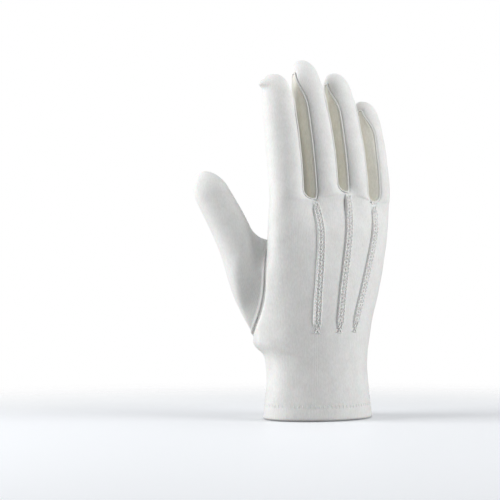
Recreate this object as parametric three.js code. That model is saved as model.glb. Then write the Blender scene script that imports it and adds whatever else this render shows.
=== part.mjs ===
import * as THREE from 'three';

// White dress glove for a right hand, in millimetres, kept in the form of a hand.
// +Z runs from the hem to the fingertips, -Y is the back of the hand, -X is the thumb side.
// The origin is the middle of the wrist opening.

// Driving sizes of the hand part and cuff
const palmLength = 150;
const hemHalfWidth = 39.6;
const hemHalfDepth = 30;
const wristHalfWidth = 36.5;
const wristHalfDepth = 28;
const palmHalfWidth = 46.8;
const palmHalfDepth = 17.5;

// Driving sizes of the fingers and the thumb
const fingerReach = 90;
const fingerHalfWidth = 11.1;
const fingerHalfDepth = 11.4;
const crotchRound = 7;
const crotchArch = 2;
const thumbHoleLength = 65;
const thumbReach = 47.5;
const thumbHalfWidth = 14.6;
const thumbHalfDepth = 13.4;
const thumbBall = 8.5;

// Cloth, seams and trims
const wall = 1.3;
const seamGap = 0.3;
const hemHeight = 10;
const hemCloth = 1.2;
const pointWidth = 4.6;
const pointHeight = 1.5;
const foldDepth = 2.4;
const foldWidth = 5;
const shirrDepth = 1.8;
const shirrHeight = 43;
const shirrSpread = 9;

const degree = Math.PI / 180;
const fullTurn = 360;
const hemSize = { halfWidth: hemHalfWidth, halfDepth: hemHalfDepth };
const wristSize = { halfWidth: wristHalfWidth, halfDepth: wristHalfDepth };
const palmSize = { halfWidth: palmHalfWidth, halfDepth: palmHalfDepth };

// Sections of cuff and palm: rise is a share of palmLength, the others are shares of the size they name
const palmSections = [
  { rise: 0.000, size: hemSize, width: 1.000, back: 1.000, front: 1.000, right: 0.020, toFront: 0.00, square: 2.00 },
  { rise: 0.133, size: hemSize, width: 0.940, back: 0.950, front: 0.950, right: 0.010, toFront: 0.00, square: 2.00 },
  { rise: 0.253, size: wristSize, width: 1.000, back: 1.000, front: 1.000, right: 0.000, toFront: 0.00, square: 2.00 },
  { rise: 0.413, size: wristSize, width: 1.055, back: 0.946, front: 0.964, right: 0.014, toFront: -0.07, square: 2.05 },
  { rise: 0.573, size: palmSize, width: 0.908, back: 1.343, front: 1.371, right: 0.043, toFront: -0.26, square: 2.15 },
  { rise: 0.747, size: palmSize, width: 0.972, back: 1.143, front: 1.143, right: 0.070, toFront: -0.40, square: 2.30 },
  { rise: 0.880, size: palmSize, width: 1.000, back: 1.000, front: 0.914, right: 0.085, toFront: -0.49, square: 2.40 },
  { rise: 1.000, size: palmSize, width: 1.000, back: 0.914, front: 0.743, right: 0.096, toFront: -0.60, square: 2.40 },
];

// Fingers: right and toFront place the base as shares of the palm's half width and half depth,
// reach is a share of fingerReach, lean and curl are shares of the finger's own reach
const fingers = [
  { name: 'index', right: -0.660, toFront: -0.514, reach: 0.880, lean: -0.037, curl: 0.130, thick: 1.02, turn: -4 },
  { name: 'middle', right: -0.120, toFront: -0.743, reach: 1.000, lean: -0.033, curl: 0.211, thick: 1.00, turn: 0 },
  { name: 'ring', right: 0.421, toFront: -0.743, reach: 0.918, lean: -0.008, curl: 0.248, thick: 0.98, turn: 2 },
  { name: 'little', right: 0.900, toFront: -0.486, reach: 0.714, lean: 0.000, curl: 0.226, thick: 0.93, turn: 34 },
];
const fingerProfile = [
  { along: 0.00, thick: 0.97 },
  { along: 0.18, thick: 1.00 },
  { along: 0.50, thick: 1.00 },
  { along: 0.75, thick: 0.94 },
  { along: 0.87, thick: 0.84 },
  { along: 1.00, thick: 0.70 },
];
const curlPower = 1.5;
const fingertipStart = 0.86;
const fingertipSquare = 2.4;

// Crotches between the fingers: rise is a share of palmLength, right a share of palmHalfWidth,
// back and front are shares of a finger's half depth
const crotches = [
  { name: 'index_middle', rise: 0.971, right: 0.045, back: 0.88, front: 0.62 },
  { name: 'middle_ring', rise: 1.003, right: 0.040, back: 0.92, front: 0.74 },
  { name: 'ring_little', rise: 0.961, right: 0.040, back: 0.80, front: 0.70 },
];

// Side strip of a finger: its half angle in degrees at the base and higher up, the share of the finger
// where it ends, where it starts to run to a point and how much of the angle it loses there
const stripAngleBase = 41;
const stripAngleTop = 47;
const stripEnd = 0.9;
const stripPointFrom = 0.6;
const stripPointLoss = 0.76;
const fingerNarrowing = 0.2;

// Where the columns of the palm stand at the wrist, in degrees from the middle of the back
const wristAngles = {
  back: [-62, -28.5, -3.5, 14.8, 56],
  front: [112, 140, 165, 195, 236],
  bowBack: [0, 3, 0.5, -1, 0],
};
const bowPeak = 27 / 256;

// Thumb hole: angles round the palm in degrees, heights as shares of palmLength
const holeMiddleAngle = 224;
const holeHalfAngle = 29;
const holeTop = 0.773;
const holeNarrow = 0.12;
const holeRound = 0.9;

// Spine of the thumb: right and toFront are shares of the palm's half width and half depth,
// rise is a share of the way from the foot of the thumb hole to the thumb's tip
const thumbRows = [
  { rise: 0.00, right: -0.640, toFront: 0.46, thick: 1.05 },
  { rise: 0.31, right: -0.915, toFront: 0.63, thick: 1.05 },
  { rise: 0.55, right: -1.115, toFront: 0.88, thick: 0.89 },
  { rise: 0.715, right: -1.272, toFront: 1.12, thick: 0.85 },
  { rise: 0.90, right: -1.478, toFront: 1.46, thick: 0.78 },
  { rise: 1.00, right: -1.605, toFront: 1.68, thick: 0.70 },
];
const thumbTipStart = 0.87;
const thumbTipSquare = 2.2;
const thumbBlend = 0.42;
const webBlend = 0.20;
const webNarrow = 6;
const thumbInward = new THREE.Vector3(0.93, -0.36, 0);

// The ball of the thumb on the palm: angle and spread in degrees, its reaches above and below the foot of
// the thumb hole as shares of thumbHoleLength
const ballPlace = { angle: 240, spread: 40, reachBelow: 0.14, reachAbove: 0.34 };

// Folds and dents: each runs between two places, given by angle and by rise as a share of palmLength,
// deep is a share of foldDepth and wide a share of foldWidth
const folds = [
  { angle: 196, rise: 0.27, angleEnd: 186, riseEnd: 0.02, deep: -1.3, wide: 1.0 },
  { angle: 208, rise: 0.25, angleEnd: 202, riseEnd: 0.03, deep: 0.8, wide: 0.9 },
  { angle: 150, rise: 0.25, angleEnd: 158, riseEnd: 0.04, deep: -1.0, wide: 0.9 },
  { angle: 128, rise: 0.26, angleEnd: 124, riseEnd: 0.06, deep: -0.6, wide: 0.8 },
  { angle: 132, rise: 0.42, angleEnd: 152, riseEnd: 0.30, deep: -1.0, wide: 0.9 },
  { angle: 150, rise: 0.44, angleEnd: 170, riseEnd: 0.31, deep: -0.8, wide: 0.9 },
  { angle: 232, rise: 0.26, angleEnd: 226, riseEnd: 0.06, deep: -0.7, wide: 1.0 },
  { angle: 258, rise: 0.28, angleEnd: 264, riseEnd: 0.13, deep: -0.6, wide: 1.8 },
];
const foldEnds = { first: 0.12, last: 0.88 };
const shirrPuckers = 18;
const puckerShare = 0.35;
const puckerAt = 0.7;
const shirrLine = 0.5;
const shirrSide = { from: 70, to: 100 };

// Fineness of the mesh
const backCells = 5;
const frontCells = 4;
const stripCells = 4;
const thumbSideCells = 6;
const fingerRows = [0.012, 0.035, 0.075, 0.14, 0.25, 0.40, 0.55, 0.69, 0.80, stripEnd, 0.945, 0.975, 0.994];
const bumpRows = [0.13, 0.30, 0.50, 0.73, 1.00];
const bumpEnd = 0.82;
const lowerRows = [0.76, 0.70, 0.64, 0.58, 0.52, 0.46, 0.40, 0.345, 0.295, 0.25, 0.20, 0.14];
const holeRowTop = 0.82;
const holeRowFoot = 0.295;
const holeColumnsFront = 2;
const holeColumnsSide = 3;
const holeRings = 3;
const thumbSteps = [0.06, 0.14, 0.24, 0.36, 0.49, 0.62, 0.74, 0.84, 0.91, 0.96, 0.985, 0.997];
const pointColumnAt = { top: 0.96, foot: 0.39 };

const upward = new THREE.Vector3(0, 0, 1);

function mix(a, b, share) {
  return a + (b - a) * share;
}

function clamp01(value) {
  return Math.min(1, Math.max(0, value));
}

function ease(value) {
  const t = clamp01(value);
  return t * t * (3 - 2 * t);
}

function bend(value, power) {
  return Math.sign(value) * Math.pow(Math.abs(value), power);
}

// A smooth curve through table rows: cubic pieces whose slopes come from the rows on either side
function through(rows, at, key, value) {
  const x = Math.min(rows[rows.length - 1][key], Math.max(rows[0][key], at));
  let i = 0;
  while (i < rows.length - 2 && x > rows[i + 1][key]) i += 1;
  const slope = (k) => {
    const low = rows[Math.max(0, k - 1)];
    const high = rows[Math.min(rows.length - 1, k + 1)];
    return (value(high) - value(low)) / (high[key] - low[key]);
  };
  const span = rows[i + 1][key] - rows[i][key];
  const t = (x - rows[i][key]) / span;
  const h = t * t * (3 - 2 * t);
  return mix(value(rows[i]), value(rows[i + 1]), h)
    + span * t * (1 - t) * ((1 - t) * slope(i) - t * slope(i + 1));
}

// The shortest way in degrees from one place round the palm to another
function turnBetween(start, end) {
  const turn = end - start;
  return turn - fullTurn * Math.round(turn / fullTurn);
}

// How far folds, gathers and the ball of the thumb lift or sink the cloth at an angle and height
function reliefAt(angle, z) {
  const meanRadius = (wristHalfWidth + wristHalfDepth) / 2;
  const degrees = angle / degree;
  const rise = z / palmLength;
  let lift = 0;
  for (const fold of folds) {
    const along = clamp01((rise - fold.rise) / (fold.riseEnd - fold.rise));
    const away = turnBetween(mix(fold.angle, fold.angleEnd, along), degrees) * degree * meanRadius;
    const beyond = (rise - mix(fold.rise, fold.riseEnd, along)) * palmLength;
    const spread = fold.wide * foldWidth;
    const ends = Math.sin(Math.PI * mix(foldEnds.first, foldEnds.last, along));
    lift += fold.deep * foldDepth * ends * Math.exp(-((away / spread) ** 2) - ((beyond / spread) ** 2));
  }
  const fromFront = Math.abs(turnBetween(fullTurn / 2, degrees));
  const frontShare = ease((shirrSide.to - fromFront) / (shirrSide.to - shirrSide.from));
  const fromShirr = (z - shirrHeight) / shirrSpread;
  const nearLine = Math.exp(-((Math.abs(fromShirr) - puckerAt) ** 2));
  const pucker = puckerShare * Math.cos(shirrPuckers * angle) * nearLine;
  lift += shirrDepth * frontShare * (pucker - Math.exp(-((fromShirr / shirrLine) ** 2)));
  const ballFoot = (holeTop * palmLength) - thumbHoleLength;
  const ballReach = (z < ballFoot ? ballPlace.reachBelow : ballPlace.reachAbove) * thumbHoleLength;
  const beside = turnBetween(ballPlace.angle, degrees) / ballPlace.spread;
  const ball = Math.exp(-(beside ** 2) - (((z - ballFoot) / ballReach) ** 2));
  return lift + thumbBall * ball;
}

function sectionAt(z) {
  const rise = z / palmLength;
  const take = (value) => through(palmSections, rise, 'rise', value);
  return {
    x: take((row) => row.right * row.size.halfWidth),
    y: take((row) => row.toFront * row.size.halfDepth),
    width: take((row) => row.width * row.size.halfWidth),
    back: take((row) => row.back * row.size.halfDepth),
    front: take((row) => row.front * row.size.halfDepth),
    square: take((row) => row.square),
  };
}

// The cuff and palm surface: a squared ellipse at each height, plus the relief
function palmPoint(angle, z) {
  const section = sectionAt(z);
  const relief = reliefAt(angle, z);
  const power = 2 / section.square;
  const depth = Math.cos(angle) > 0 ? section.back : section.front;
  return new THREE.Vector3(
    section.x + (section.width + relief) * bend(Math.sin(angle), power),
    section.y - (depth + relief) * bend(Math.cos(angle), power),
    z,
  );
}

// The angle whose palm point lies in the direction of a given point, as seen from the section's middle:
// judged by its place across the hand, and by its depth too past besideFrom of the half width
const besideFrom = 0.75;
const besideTo = 0.95;

function palmAngle(point) {
  const section = sectionAt(Math.min(palmLength, point.z));
  const power = section.square / 2;
  const across = (point.x - section.x) / section.width;
  const fore = -(point.y - section.y) / (point.y < section.y ? section.back : section.front);
  const beside = ease((Math.abs(across) - besideFrom) / (besideTo - besideFrom));
  const level = Math.sign(fore) * Math.max(0, 1 - Math.abs(across) ** section.square) ** (1 / section.square);
  return Math.atan2(bend(across, power), bend(mix(level, fore, beside), power));
}

// One finger's tube: squared circles on a curling spine, closed by a blunt dome
function fingerPoint(finger, angle, z, foot) {
  const reach = finger.reach * fingerReach;
  const tip = palmLength + reach;
  const along = clamp01((z - foot) / (tip - foot));
  const flex = Math.pow(along, curlPower);
  const past = clamp01((along - fingertipStart) / (1 - fingertipStart));
  const dome = Math.pow(1 - Math.pow(past, fingertipSquare), 1 / fingertipSquare);
  const thick = finger.thick * dome * through(fingerProfile, along, 'along', (row) => row.thick);
  const turned = finger.turn * degree;
  const across = thick * fingerHalfWidth * Math.sin(angle);
  const fore = -thick * fingerHalfDepth * Math.cos(angle);
  return new THREE.Vector3(
    finger.right * palmHalfWidth + finger.lean * reach * flex,
    finger.toFront * palmHalfDepth + finger.curl * reach * flex,
    z,
  ).add(new THREE.Vector3(across, fore, 0).applyAxisAngle(upward, turned));
}

// The saddle line of a crotch, from its back edge at share 0 to its palm edge at share 1
function crotchPoint(index, share) {
  const crotch = crotches[index];
  const left = fingers[index];
  const right = fingers[index + 1];
  const near = left.right * palmHalfWidth + left.thick * fingerHalfWidth;
  const far = right.right * palmHalfWidth - right.thick * fingerHalfWidth;
  const middleY = (left.toFront + right.toFront) / 2 * palmHalfDepth;
  return new THREE.Vector3(
    (near + far) / 2 + crotch.right * palmHalfWidth * (1 - share),
    mix(middleY - crotch.back * fingerHalfDepth, middleY + crotch.front * fingerHalfDepth, share),
    crotch.rise * palmLength + crotchArch * Math.sin(Math.PI * share),
  );
}

// How far a finger's side still leans over to the crotch at a height above it: a quarter circle
function crotchPull(above) {
  const share = 1 - clamp01(above / crotchRound);
  return 1 - Math.sqrt(1 - share * share);
}

// The columns round a finger: angle from the back, side of the strip, share across the strip and kind
function fingerColumns(finger, index) {
  const columns = [];
  const addPanel = (kind, cells) => {
    for (let i = 0; i <= cells; i += 1) columns.push({ kind, crotch: null, share: i / cells });
  };
  const addSide = (kind, crotch, reversed) => {
    const cells = crotch === null && kind === 'thumbSide' ? thumbSideCells : stripCells;
    for (let i = 0; i <= cells; i += 1) {
      const onEdge = i === 0 || i === cells;
      if (crotch !== null || !onEdge) columns.push({ kind, crotch, reversed, turn: i / cells });
    }
  };
  addPanel('back', backCells);
  addSide('farSide', index < 3 ? index : null, false);
  addPanel('front', frontCells);
  addSide(index > 0 ? 'nearSide' : 'thumbSide', index > 0 ? index - 1 : null, true);
  return columns;
}

// The half angle of a finger's side strip, and a strip column's share across it inside the seam gaps
function stripAngle(along) {
  const pointed = ease((along - stripPointFrom) / (stripEnd - stripPointFrom));
  const wide = mix(stripAngleBase, stripAngleTop, ease(along / stripEnd));
  return wide * (1 - stripPointLoss * pointed * pointed) * degree;
}

function stripShare(column, along) {
  if (column.crotch === null) return column.turn;
  const gap = seamGap / (2 * fingerHalfDepth * stripAngle(along) * (1 - fingerNarrowing * along));
  return mix(gap, 1 - gap, column.turn);
}

function columnAngle(column, along) {
  const panel = Math.PI / 2 - stripAngle(along);
  if (column.kind === 'back') return mix(-panel, panel, column.share);
  if (column.kind === 'farSide') return mix(panel, Math.PI - panel, stripShare(column, along));
  if (column.kind === 'front') return mix(Math.PI - panel, Math.PI + panel, column.share);
  return mix(Math.PI + panel, 2 * Math.PI - panel, stripShare(column, along));
}

// The height of a finger's base under a column, and how far the crotches on its two sides act there
function columnBase(column, index) {
  const outerRise = (i) => crotches[Math.min(2, Math.max(0, i))].rise * palmLength;
  const near = outerRise(index - 1);
  const far = outerRise(index);
  if (column.crotch !== null) {
    const turn = stripShare(column, 0);
    const share = column.reversed ? 1 - turn : turn;
    const z = crotchPoint(column.crotch, share).z;
    return { z, pulls: [{ crotch: column.crotch, share, weight: 1 }] };
  }
  if (column.kind === 'back' || column.kind === 'front') {
    const isBack = column.kind === 'back';
    const across = isBack ? column.share : 1 - column.share;
    const edge = isBack ? 0 : 1;
    const pulls = [];
    if (index > 0) pulls.push({ crotch: index - 1, share: edge, weight: (1 - across) ** 2 });
    if (index < 3) pulls.push({ crotch: index, share: edge, weight: across ** 2 });
    return { z: mix(near, far, across), pulls };
  }
  return { z: index === 0 ? near : far, pulls: [] };
}

function fingerSkinPoint(finger, index, column, along) {
  const base = columnBase(column, index);
  const tip = palmLength + finger.reach * fingerReach;
  const z = mix(base.z, tip, along);
  const point = fingerPoint(finger, columnAngle(column, along), z, base.z);
  const start = fingerPoint(finger, columnAngle(column, 0), base.z, base.z);
  for (const pull of base.pulls) {
    const shift = crotchPoint(pull.crotch, pull.share).sub(start);
    point.addScaledVector(shift.setZ(0), pull.weight * crotchPull(z - base.z));
  }
  return point;
}

// The outer skin of the whole glove: shared points, and cells that each belong to a piece or to a seam
const skin = { points: [], cells: [], known: new Map() };

function addPoint(point) {
  const key = point.toArray().map((value) => Math.round(value * 1000)).join(',');
  if (!skin.known.has(key)) {
    skin.known.set(key, skin.points.length);
    skin.points.push(point.clone());
  }
  return skin.known.get(key);
}

function addCell(corners, piece) {
  const distinct = corners.filter((corner, i) => corner !== corners[(i + 1) % corners.length]);
  if (distinct.length > 2) skin.cells.push({ corners: distinct, piece });
}

function buildFinger(finger, index) {
  const columns = fingerColumns(finger, index);
  const seamTop = stripEnd + seamGap / (finger.reach * fingerReach);
  const above = fingerRows.filter((row) => row > seamTop);
  const rows = [0, ...fingerRows.filter((row) => row <= stripEnd), seamTop, ...above];
  const pointAt = (column, along) => addPoint(fingerSkinPoint(finger, index, column, along));
  const grid = rows.map((along) => columns.map((column) => pointAt(column, along)));
  const pieceOf = (a, b, row) => {
    const sides = [a, b].filter((column) => column.crotch !== null);
    if (sides.length === 0 || rows[row] >= seamTop) return 'trank';
    if (sides.length === 1 || rows[row + 1] >= seamTop) return 'seam';
    return 'fourchette_' + crotches[sides[0].crotch].name;
  };
  for (let row = 0; row < rows.length - 1; row += 1) {
    for (let i = 0; i < columns.length; i += 1) {
      const j = (i + 1) % columns.length;
      const corners = [grid[row][i], grid[row][j], grid[row + 1][j], grid[row + 1][i]];
      addCell(corners, pieceOf(columns[i], columns[j], row));
    }
  }
  const top = grid[rows.length - 1];
  const apex = addPoint(fingerSkinPoint(finger, index, { kind: 'back', crotch: null, share: 0.5 }, 1));
  for (let i = 0; i < top.length; i += 1) addCell([top[i], top[(i + 1) % top.length], apex], 'trank');
  return columns.map((column, i) => ({ column, id: grid[0][i] }));
}

// The ring of columns round the palm, gathered from the bases of the fingers
function palmColumns(bases) {
  const panel = (kind, order) => order.flatMap((f) => {
    const run = bases[f].filter((entry) => entry.column.kind === kind);
    const band = kind === 'back' ? f : 3 - f;
    const across = (list, share) => mix(list[band], list[band + 1], share);
    return run.map((entry) => ({
      ...entry,
      angle: across(wristAngles[kind], entry.column.share),
      bow: kind === 'back' ? across(wristAngles.bowBack, entry.column.share) : 0,
    }));
  });
  const side = (f, kind, from, to) => bases[f]
    .filter((entry) => entry.column.kind === kind)
    .map((entry) => ({ ...entry, angle: mix(from, to, entry.column.turn), bow: 0 }));
  const ring = [
    ...panel('back', [0, 1, 2, 3]),
    ...side(3, 'farSide', wristAngles.back[4], wristAngles.front[0]),
    ...panel('front', [3, 2, 1, 0]),
    ...side(0, 'thumbSide', wristAngles.front[4], fullTurn + wristAngles.back[0]),
  ];
  return ring.filter((entry, i) => entry.id !== ring[(i + ring.length - 1) % ring.length].id);
}

// The palm rows below the fingers: the bumps of the finger bases fade into the palm surface
function palmGrid(ring) {
  const fadeEnd = bumpEnd * palmLength;
  const lower = lowerRows.map((rise) => rise * palmLength).concat([hemHeight, 0]);
  const heights = [...bumpRows.map((share) => mix(palmLength, fadeEnd, share)), ...lower];
  const tops = ring.map((entry) => {
    const base = skin.points[entry.id];
    let angle = palmAngle(base);
    while (angle < entry.angle * degree - Math.PI) angle += 2 * Math.PI;
    while (angle > entry.angle * degree + Math.PI) angle -= 2 * Math.PI;
    return { base, angle, wristAngle: entry.angle * degree, bow: entry.bow * degree };
  });
  const angleAt = (top, z) => {
    const t = clamp01((z - shirrHeight) / (top.base.z - shirrHeight));
    return mix(top.wristAngle, top.angle, ease(t)) + top.bow * t ** 3 * (1 - t) / bowPeak;
  };
  const places = [tops.map((top) => ({ angle: top.angle, z: top.base.z }))];
  const grid = [ring.map((entry) => entry.id)];
  heights.forEach((height) => {
    const row = tops.map((top) => {
      const lifted = mix(fadeEnd, top.base.z, (height - fadeEnd) / (palmLength - fadeEnd));
      const z = height > fadeEnd ? lifted : height;
      const point = palmPoint(angleAt(top, z), z);
      const bump = (z - fadeEnd) / (top.base.z - fadeEnd);
      const start = palmPoint(top.angle, Math.min(palmLength, top.base.z)).setZ(top.base.z);
      point.addScaledVector(top.base.clone().sub(start).setZ(0), ease(bump));
      return { angle: angleAt(top, z), z, id: addPoint(point) };
    });
    places.push(row);
    grid.push(row.map((place) => place.id));
  });
  return { grid, places, heights };
}

function buildPalm(ring, palm, hole) {
  for (let row = 0; row < palm.grid.length - 1; row += 1) {
    for (let i = 0; i < ring.length; i += 1) {
      const inHole = row >= hole.rowTop && row < hole.rowFoot && i >= hole.first && i < hole.last;
      if (inHole) continue;
      const j = (i + 1) % ring.length;
      const corners = [palm.grid[row + 1][i], palm.grid[row + 1][j], palm.grid[row][j], palm.grid[row][i]];
      addCell(corners, 'trank');
    }
  }
}

// The block of palm cells that the thumb hole replaces
function holeBlock(ring, palm) {
  const firstSide = ring.findIndex((entry) => entry.column.kind === 'thumbSide');
  const near = (rise) => palm.heights.findIndex((height) => Math.abs(height - rise * palmLength) < 1e-6) + 1;
  return {
    first: firstSide - 1 - frontCells - holeColumnsFront,
    last: firstSide - 1 + holeColumnsSide,
    rowTop: near(holeRowTop),
    rowFoot: near(holeRowFoot),
  };
}

// Walks round the block clockwise as seen from outside, starting at its upper left corner
function blockBorder(hole, palm) {
  const border = [];
  for (let i = hole.first; i < hole.last; i += 1) border.push([hole.rowTop, i]);
  for (let row = hole.rowTop; row < hole.rowFoot; row += 1) border.push([row, hole.last]);
  for (let i = hole.last; i > hole.first; i -= 1) border.push([hole.rowFoot, i]);
  for (let row = hole.rowFoot; row > hole.rowTop; row -= 1) border.push([row, hole.first]);
  return border.map(([row, i]) => ({ ...palm.places[row][i], id: palm.grid[row][i] }));
}

function holePlace(turn) {
  const holeFoot = holeTop * palmLength - thumbHoleLength;
  const middle = holeFoot + thumbHoleLength / 2;
  const narrow = 1 + holeNarrow * Math.cos(turn);
  return {
    angle: (holeMiddleAngle + holeHalfAngle * narrow * bend(Math.sin(turn), holeRound)) * degree,
    z: middle + thumbHoleLength / 2 * Math.cos(turn),
  };
}

// The thumb's spine at a share of its length, with the direction along it
function thumbSpine(share) {
  const foot = holeTop * palmLength - thumbHoleLength;
  const length = thumbHoleLength + thumbReach;
  const take = (at, value) => through(thumbRows, at, 'rise', value);
  const place = (at) => new THREE.Vector3(
    take(at, (row) => row.right) * palmHalfWidth,
    take(at, (row) => row.toFront) * palmHalfDepth,
    foot + at * length,
  );
  const step = 0.01;
  const low = Math.max(0, share - step);
  const high = Math.min(1, share + step);
  const along = place(high).sub(place(low)).normalize();
  return { at: place(share), along, thick: take(share, (row) => row.thick) };
}

function thumbTubePoint(turn, share) {
  const spine = thumbSpine(share);
  const inward = thumbInward.clone();
  inward.addScaledVector(spine.along, -inward.dot(spine.along)).normalize();
  const toBack = new THREE.Vector3().crossVectors(inward, spine.along).normalize();
  const past = clamp01((share - thumbTipStart) / (1 - thumbTipStart));
  const dome = Math.pow(1 - Math.pow(past, thumbTipSquare), 1 / thumbTipSquare);
  const thick = spine.thick * dome;
  return spine.at
    .addScaledVector(inward, thick * thumbHalfWidth * Math.cos(turn))
    .addScaledVector(toBack, thick * thumbHalfDepth * Math.sin(turn));
}

// The share of the spine that lies square beside a point
function thumbShareBeside(point) {
  let low = 0;
  let high = 1;
  for (let i = 0; i < 30; i += 1) {
    const share = (low + high) / 2;
    const spine = thumbSpine(share);
    if (point.clone().sub(spine.at).dot(spine.along) > 0) low = share;
    else high = share;
  }
  return (low + high) / 2;
}

function buildThumb(hole, palm) {
  const border = blockBorder(hole, palm);
  const middle = holePlace(Math.PI / 2);
  const top = holePlace(0);
  const turns = border.map((place) => Math.atan2(
    (place.angle - top.angle) / (holeHalfAngle * degree),
    (place.z - middle.z) / (thumbHoleLength / 2),
  ));
  const rings = [border.map((place) => place.id)];
  const kinds = [];
  for (let k = 1; k <= holeRings; k += 1) {
    rings.push(border.map((place, i) => {
      const edge = holePlace(turns[i]);
      const share = k / holeRings;
      return addPoint(palmPoint(mix(place.angle, edge.angle, share), mix(place.z, edge.z, share)));
    }));
    kinds.push('trank');
  }
  const roots = turns.map((turn) => {
    const edge = holePlace(turn);
    const point = palmPoint(edge.angle, edge.z);
    const share = thumbShareBeside(point);
    return { turn, point, share, shift: point.clone().sub(thumbTubePoint(turn, share)) };
  });
  const firstStep = (root) => seamGap / ((1 - root.share) * (thumbHoleLength + thumbReach));
  const thumbPoint = (root, step) => {
    const share = mix(root.share, 1, step);
    const faded = clamp01(step / mix(thumbBlend, webBlend, Math.max(0, Math.cos(root.turn)) ** webNarrow));
    const atFoot = Math.max(0, -Math.cos(root.turn)) ** 2;
    const fade = (1 - faded) ** 2 * (1 + 2 * faded * (1 - atFoot));
    return thumbTubePoint(root.turn, share).addScaledVector(root.shift, fade);
  };
  rings.push(roots.map((root) => addPoint(thumbPoint(root, firstStep(root)))));
  kinds.push('seam');
  for (const step of thumbSteps) {
    rings.push(roots.map((root) => addPoint(thumbPoint(root, step))));
    kinds.push('thumb');
  }
  for (let k = 0; k < rings.length - 1; k += 1) {
    for (let i = 0; i < border.length; i += 1) {
      const j = (i + 1) % border.length;
      addCell([rings[k][i], rings[k + 1][i], rings[k + 1][j], rings[k][j]], kinds[k]);
    }
  }
  const last = rings[rings.length - 1];
  const apex = addPoint(thumbSpine(1).at);
  for (let i = 0; i < last.length; i += 1) addCell([last[(i + 1) % last.length], last[i], apex], 'thumb');
}

// Points that face each other across a seam share one group, so that the gap keeps its width through the wall
const acrossSeam = 1.7;

function seamGroups() {
  const group = skin.points.map((point, i) => i);
  const rootOf = (i) => (group[i] === i ? i : rootOf(group[i]));
  for (const { corners, piece } of skin.cells) {
    if (piece !== 'seam') continue;
    corners.forEach((a, i) => {
      const b = corners[(i + 1) % corners.length];
      if (skin.points[a].distanceTo(skin.points[b]) < acrossSeam * seamGap) group[rootOf(a)] = rootOf(b);
    });
  }
  return group.map((entry, i) => rootOf(i));
}

// Outward directions at the skin's points, longer where the cloth turns a sharp corner
const leastCosine = 0.78;

function skinDirections() {
  const group = seamGroups();
  const directions = skin.points.map(() => new THREE.Vector3());
  const faces = skin.cells.filter(({ piece }) => piece !== 'seam').map(({ corners }) => {
    const [a, b, c] = corners.map((corner) => skin.points[corner]);
    const d = corners.length > 3 ? skin.points[corners[3]] : a;
    const normal = new THREE.Vector3().crossVectors(c.clone().sub(a), d.clone().sub(b)).normalize();
    return { corners, normal };
  });
  faces.forEach(({ corners, normal }) => corners.forEach((corner) => directions[group[corner]].add(normal)));
  directions.forEach((direction) => direction.normalize());
  const least = skin.points.map(() => 1);
  faces.forEach(({ corners, normal }) => corners.forEach((corner) => {
    least[group[corner]] = Math.min(least[group[corner]], directions[group[corner]].dot(normal));
  }));
  return group.map((i) => directions[i].clone().multiplyScalar(1 / Math.max(leastCosine, least[i])));
}

// Cloth between two depths under some cells of the skin, closed along its open edges
function clothGeometry(cells, directions, outerDepth, innerDepth) {
  const positions = [];
  const indexes = [];
  const ids = new Map();
  const vertex = (corner, depth) => {
    const key = corner + ':' + depth;
    if (!ids.has(key)) {
      ids.set(key, positions.length / 3);
      positions.push(...skin.points[corner].clone().addScaledVector(directions[corner], -depth).toArray());
    }
    return ids.get(key);
  };
  const edges = new Map();
  cells.forEach(({ corners }) => corners.forEach((a, i) => {
    const b = corners[(i + 1) % corners.length];
    edges.set(a + ',' + b, [a, b]);
  }));
  const addFace = (loop) => {
    for (let i = 1; i < loop.length - 1; i += 1) indexes.push(loop[0], loop[i], loop[i + 1]);
  };
  cells.forEach(({ corners }) => {
    addFace(corners.map((corner) => vertex(corner, outerDepth)));
    addFace([corners[0], ...corners.slice(1).reverse()].map((corner) => vertex(corner, innerDepth)));
  });
  edges.forEach(([a, b]) => {
    if (edges.has(b + ',' + a)) return;
    const wallLoop = [vertex(b, outerDepth), vertex(a, outerDepth)];
    wallLoop.push(vertex(a, innerDepth), vertex(b, innerDepth));
    if (skin.points[a].z < skin.points[b].z) wallLoop.push(wallLoop.shift());
    addFace(wallLoop);
  });
  return geometryFrom(positions, indexes);
}

function geometryFrom(positions, indexes) {
  const geometry = new THREE.BufferGeometry();
  geometry.setAttribute('position', new THREE.Float32BufferAttribute(positions, 3));
  geometry.setIndex(indexes);
  geometry.computeVertexNormals();
  return geometry;
}

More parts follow.
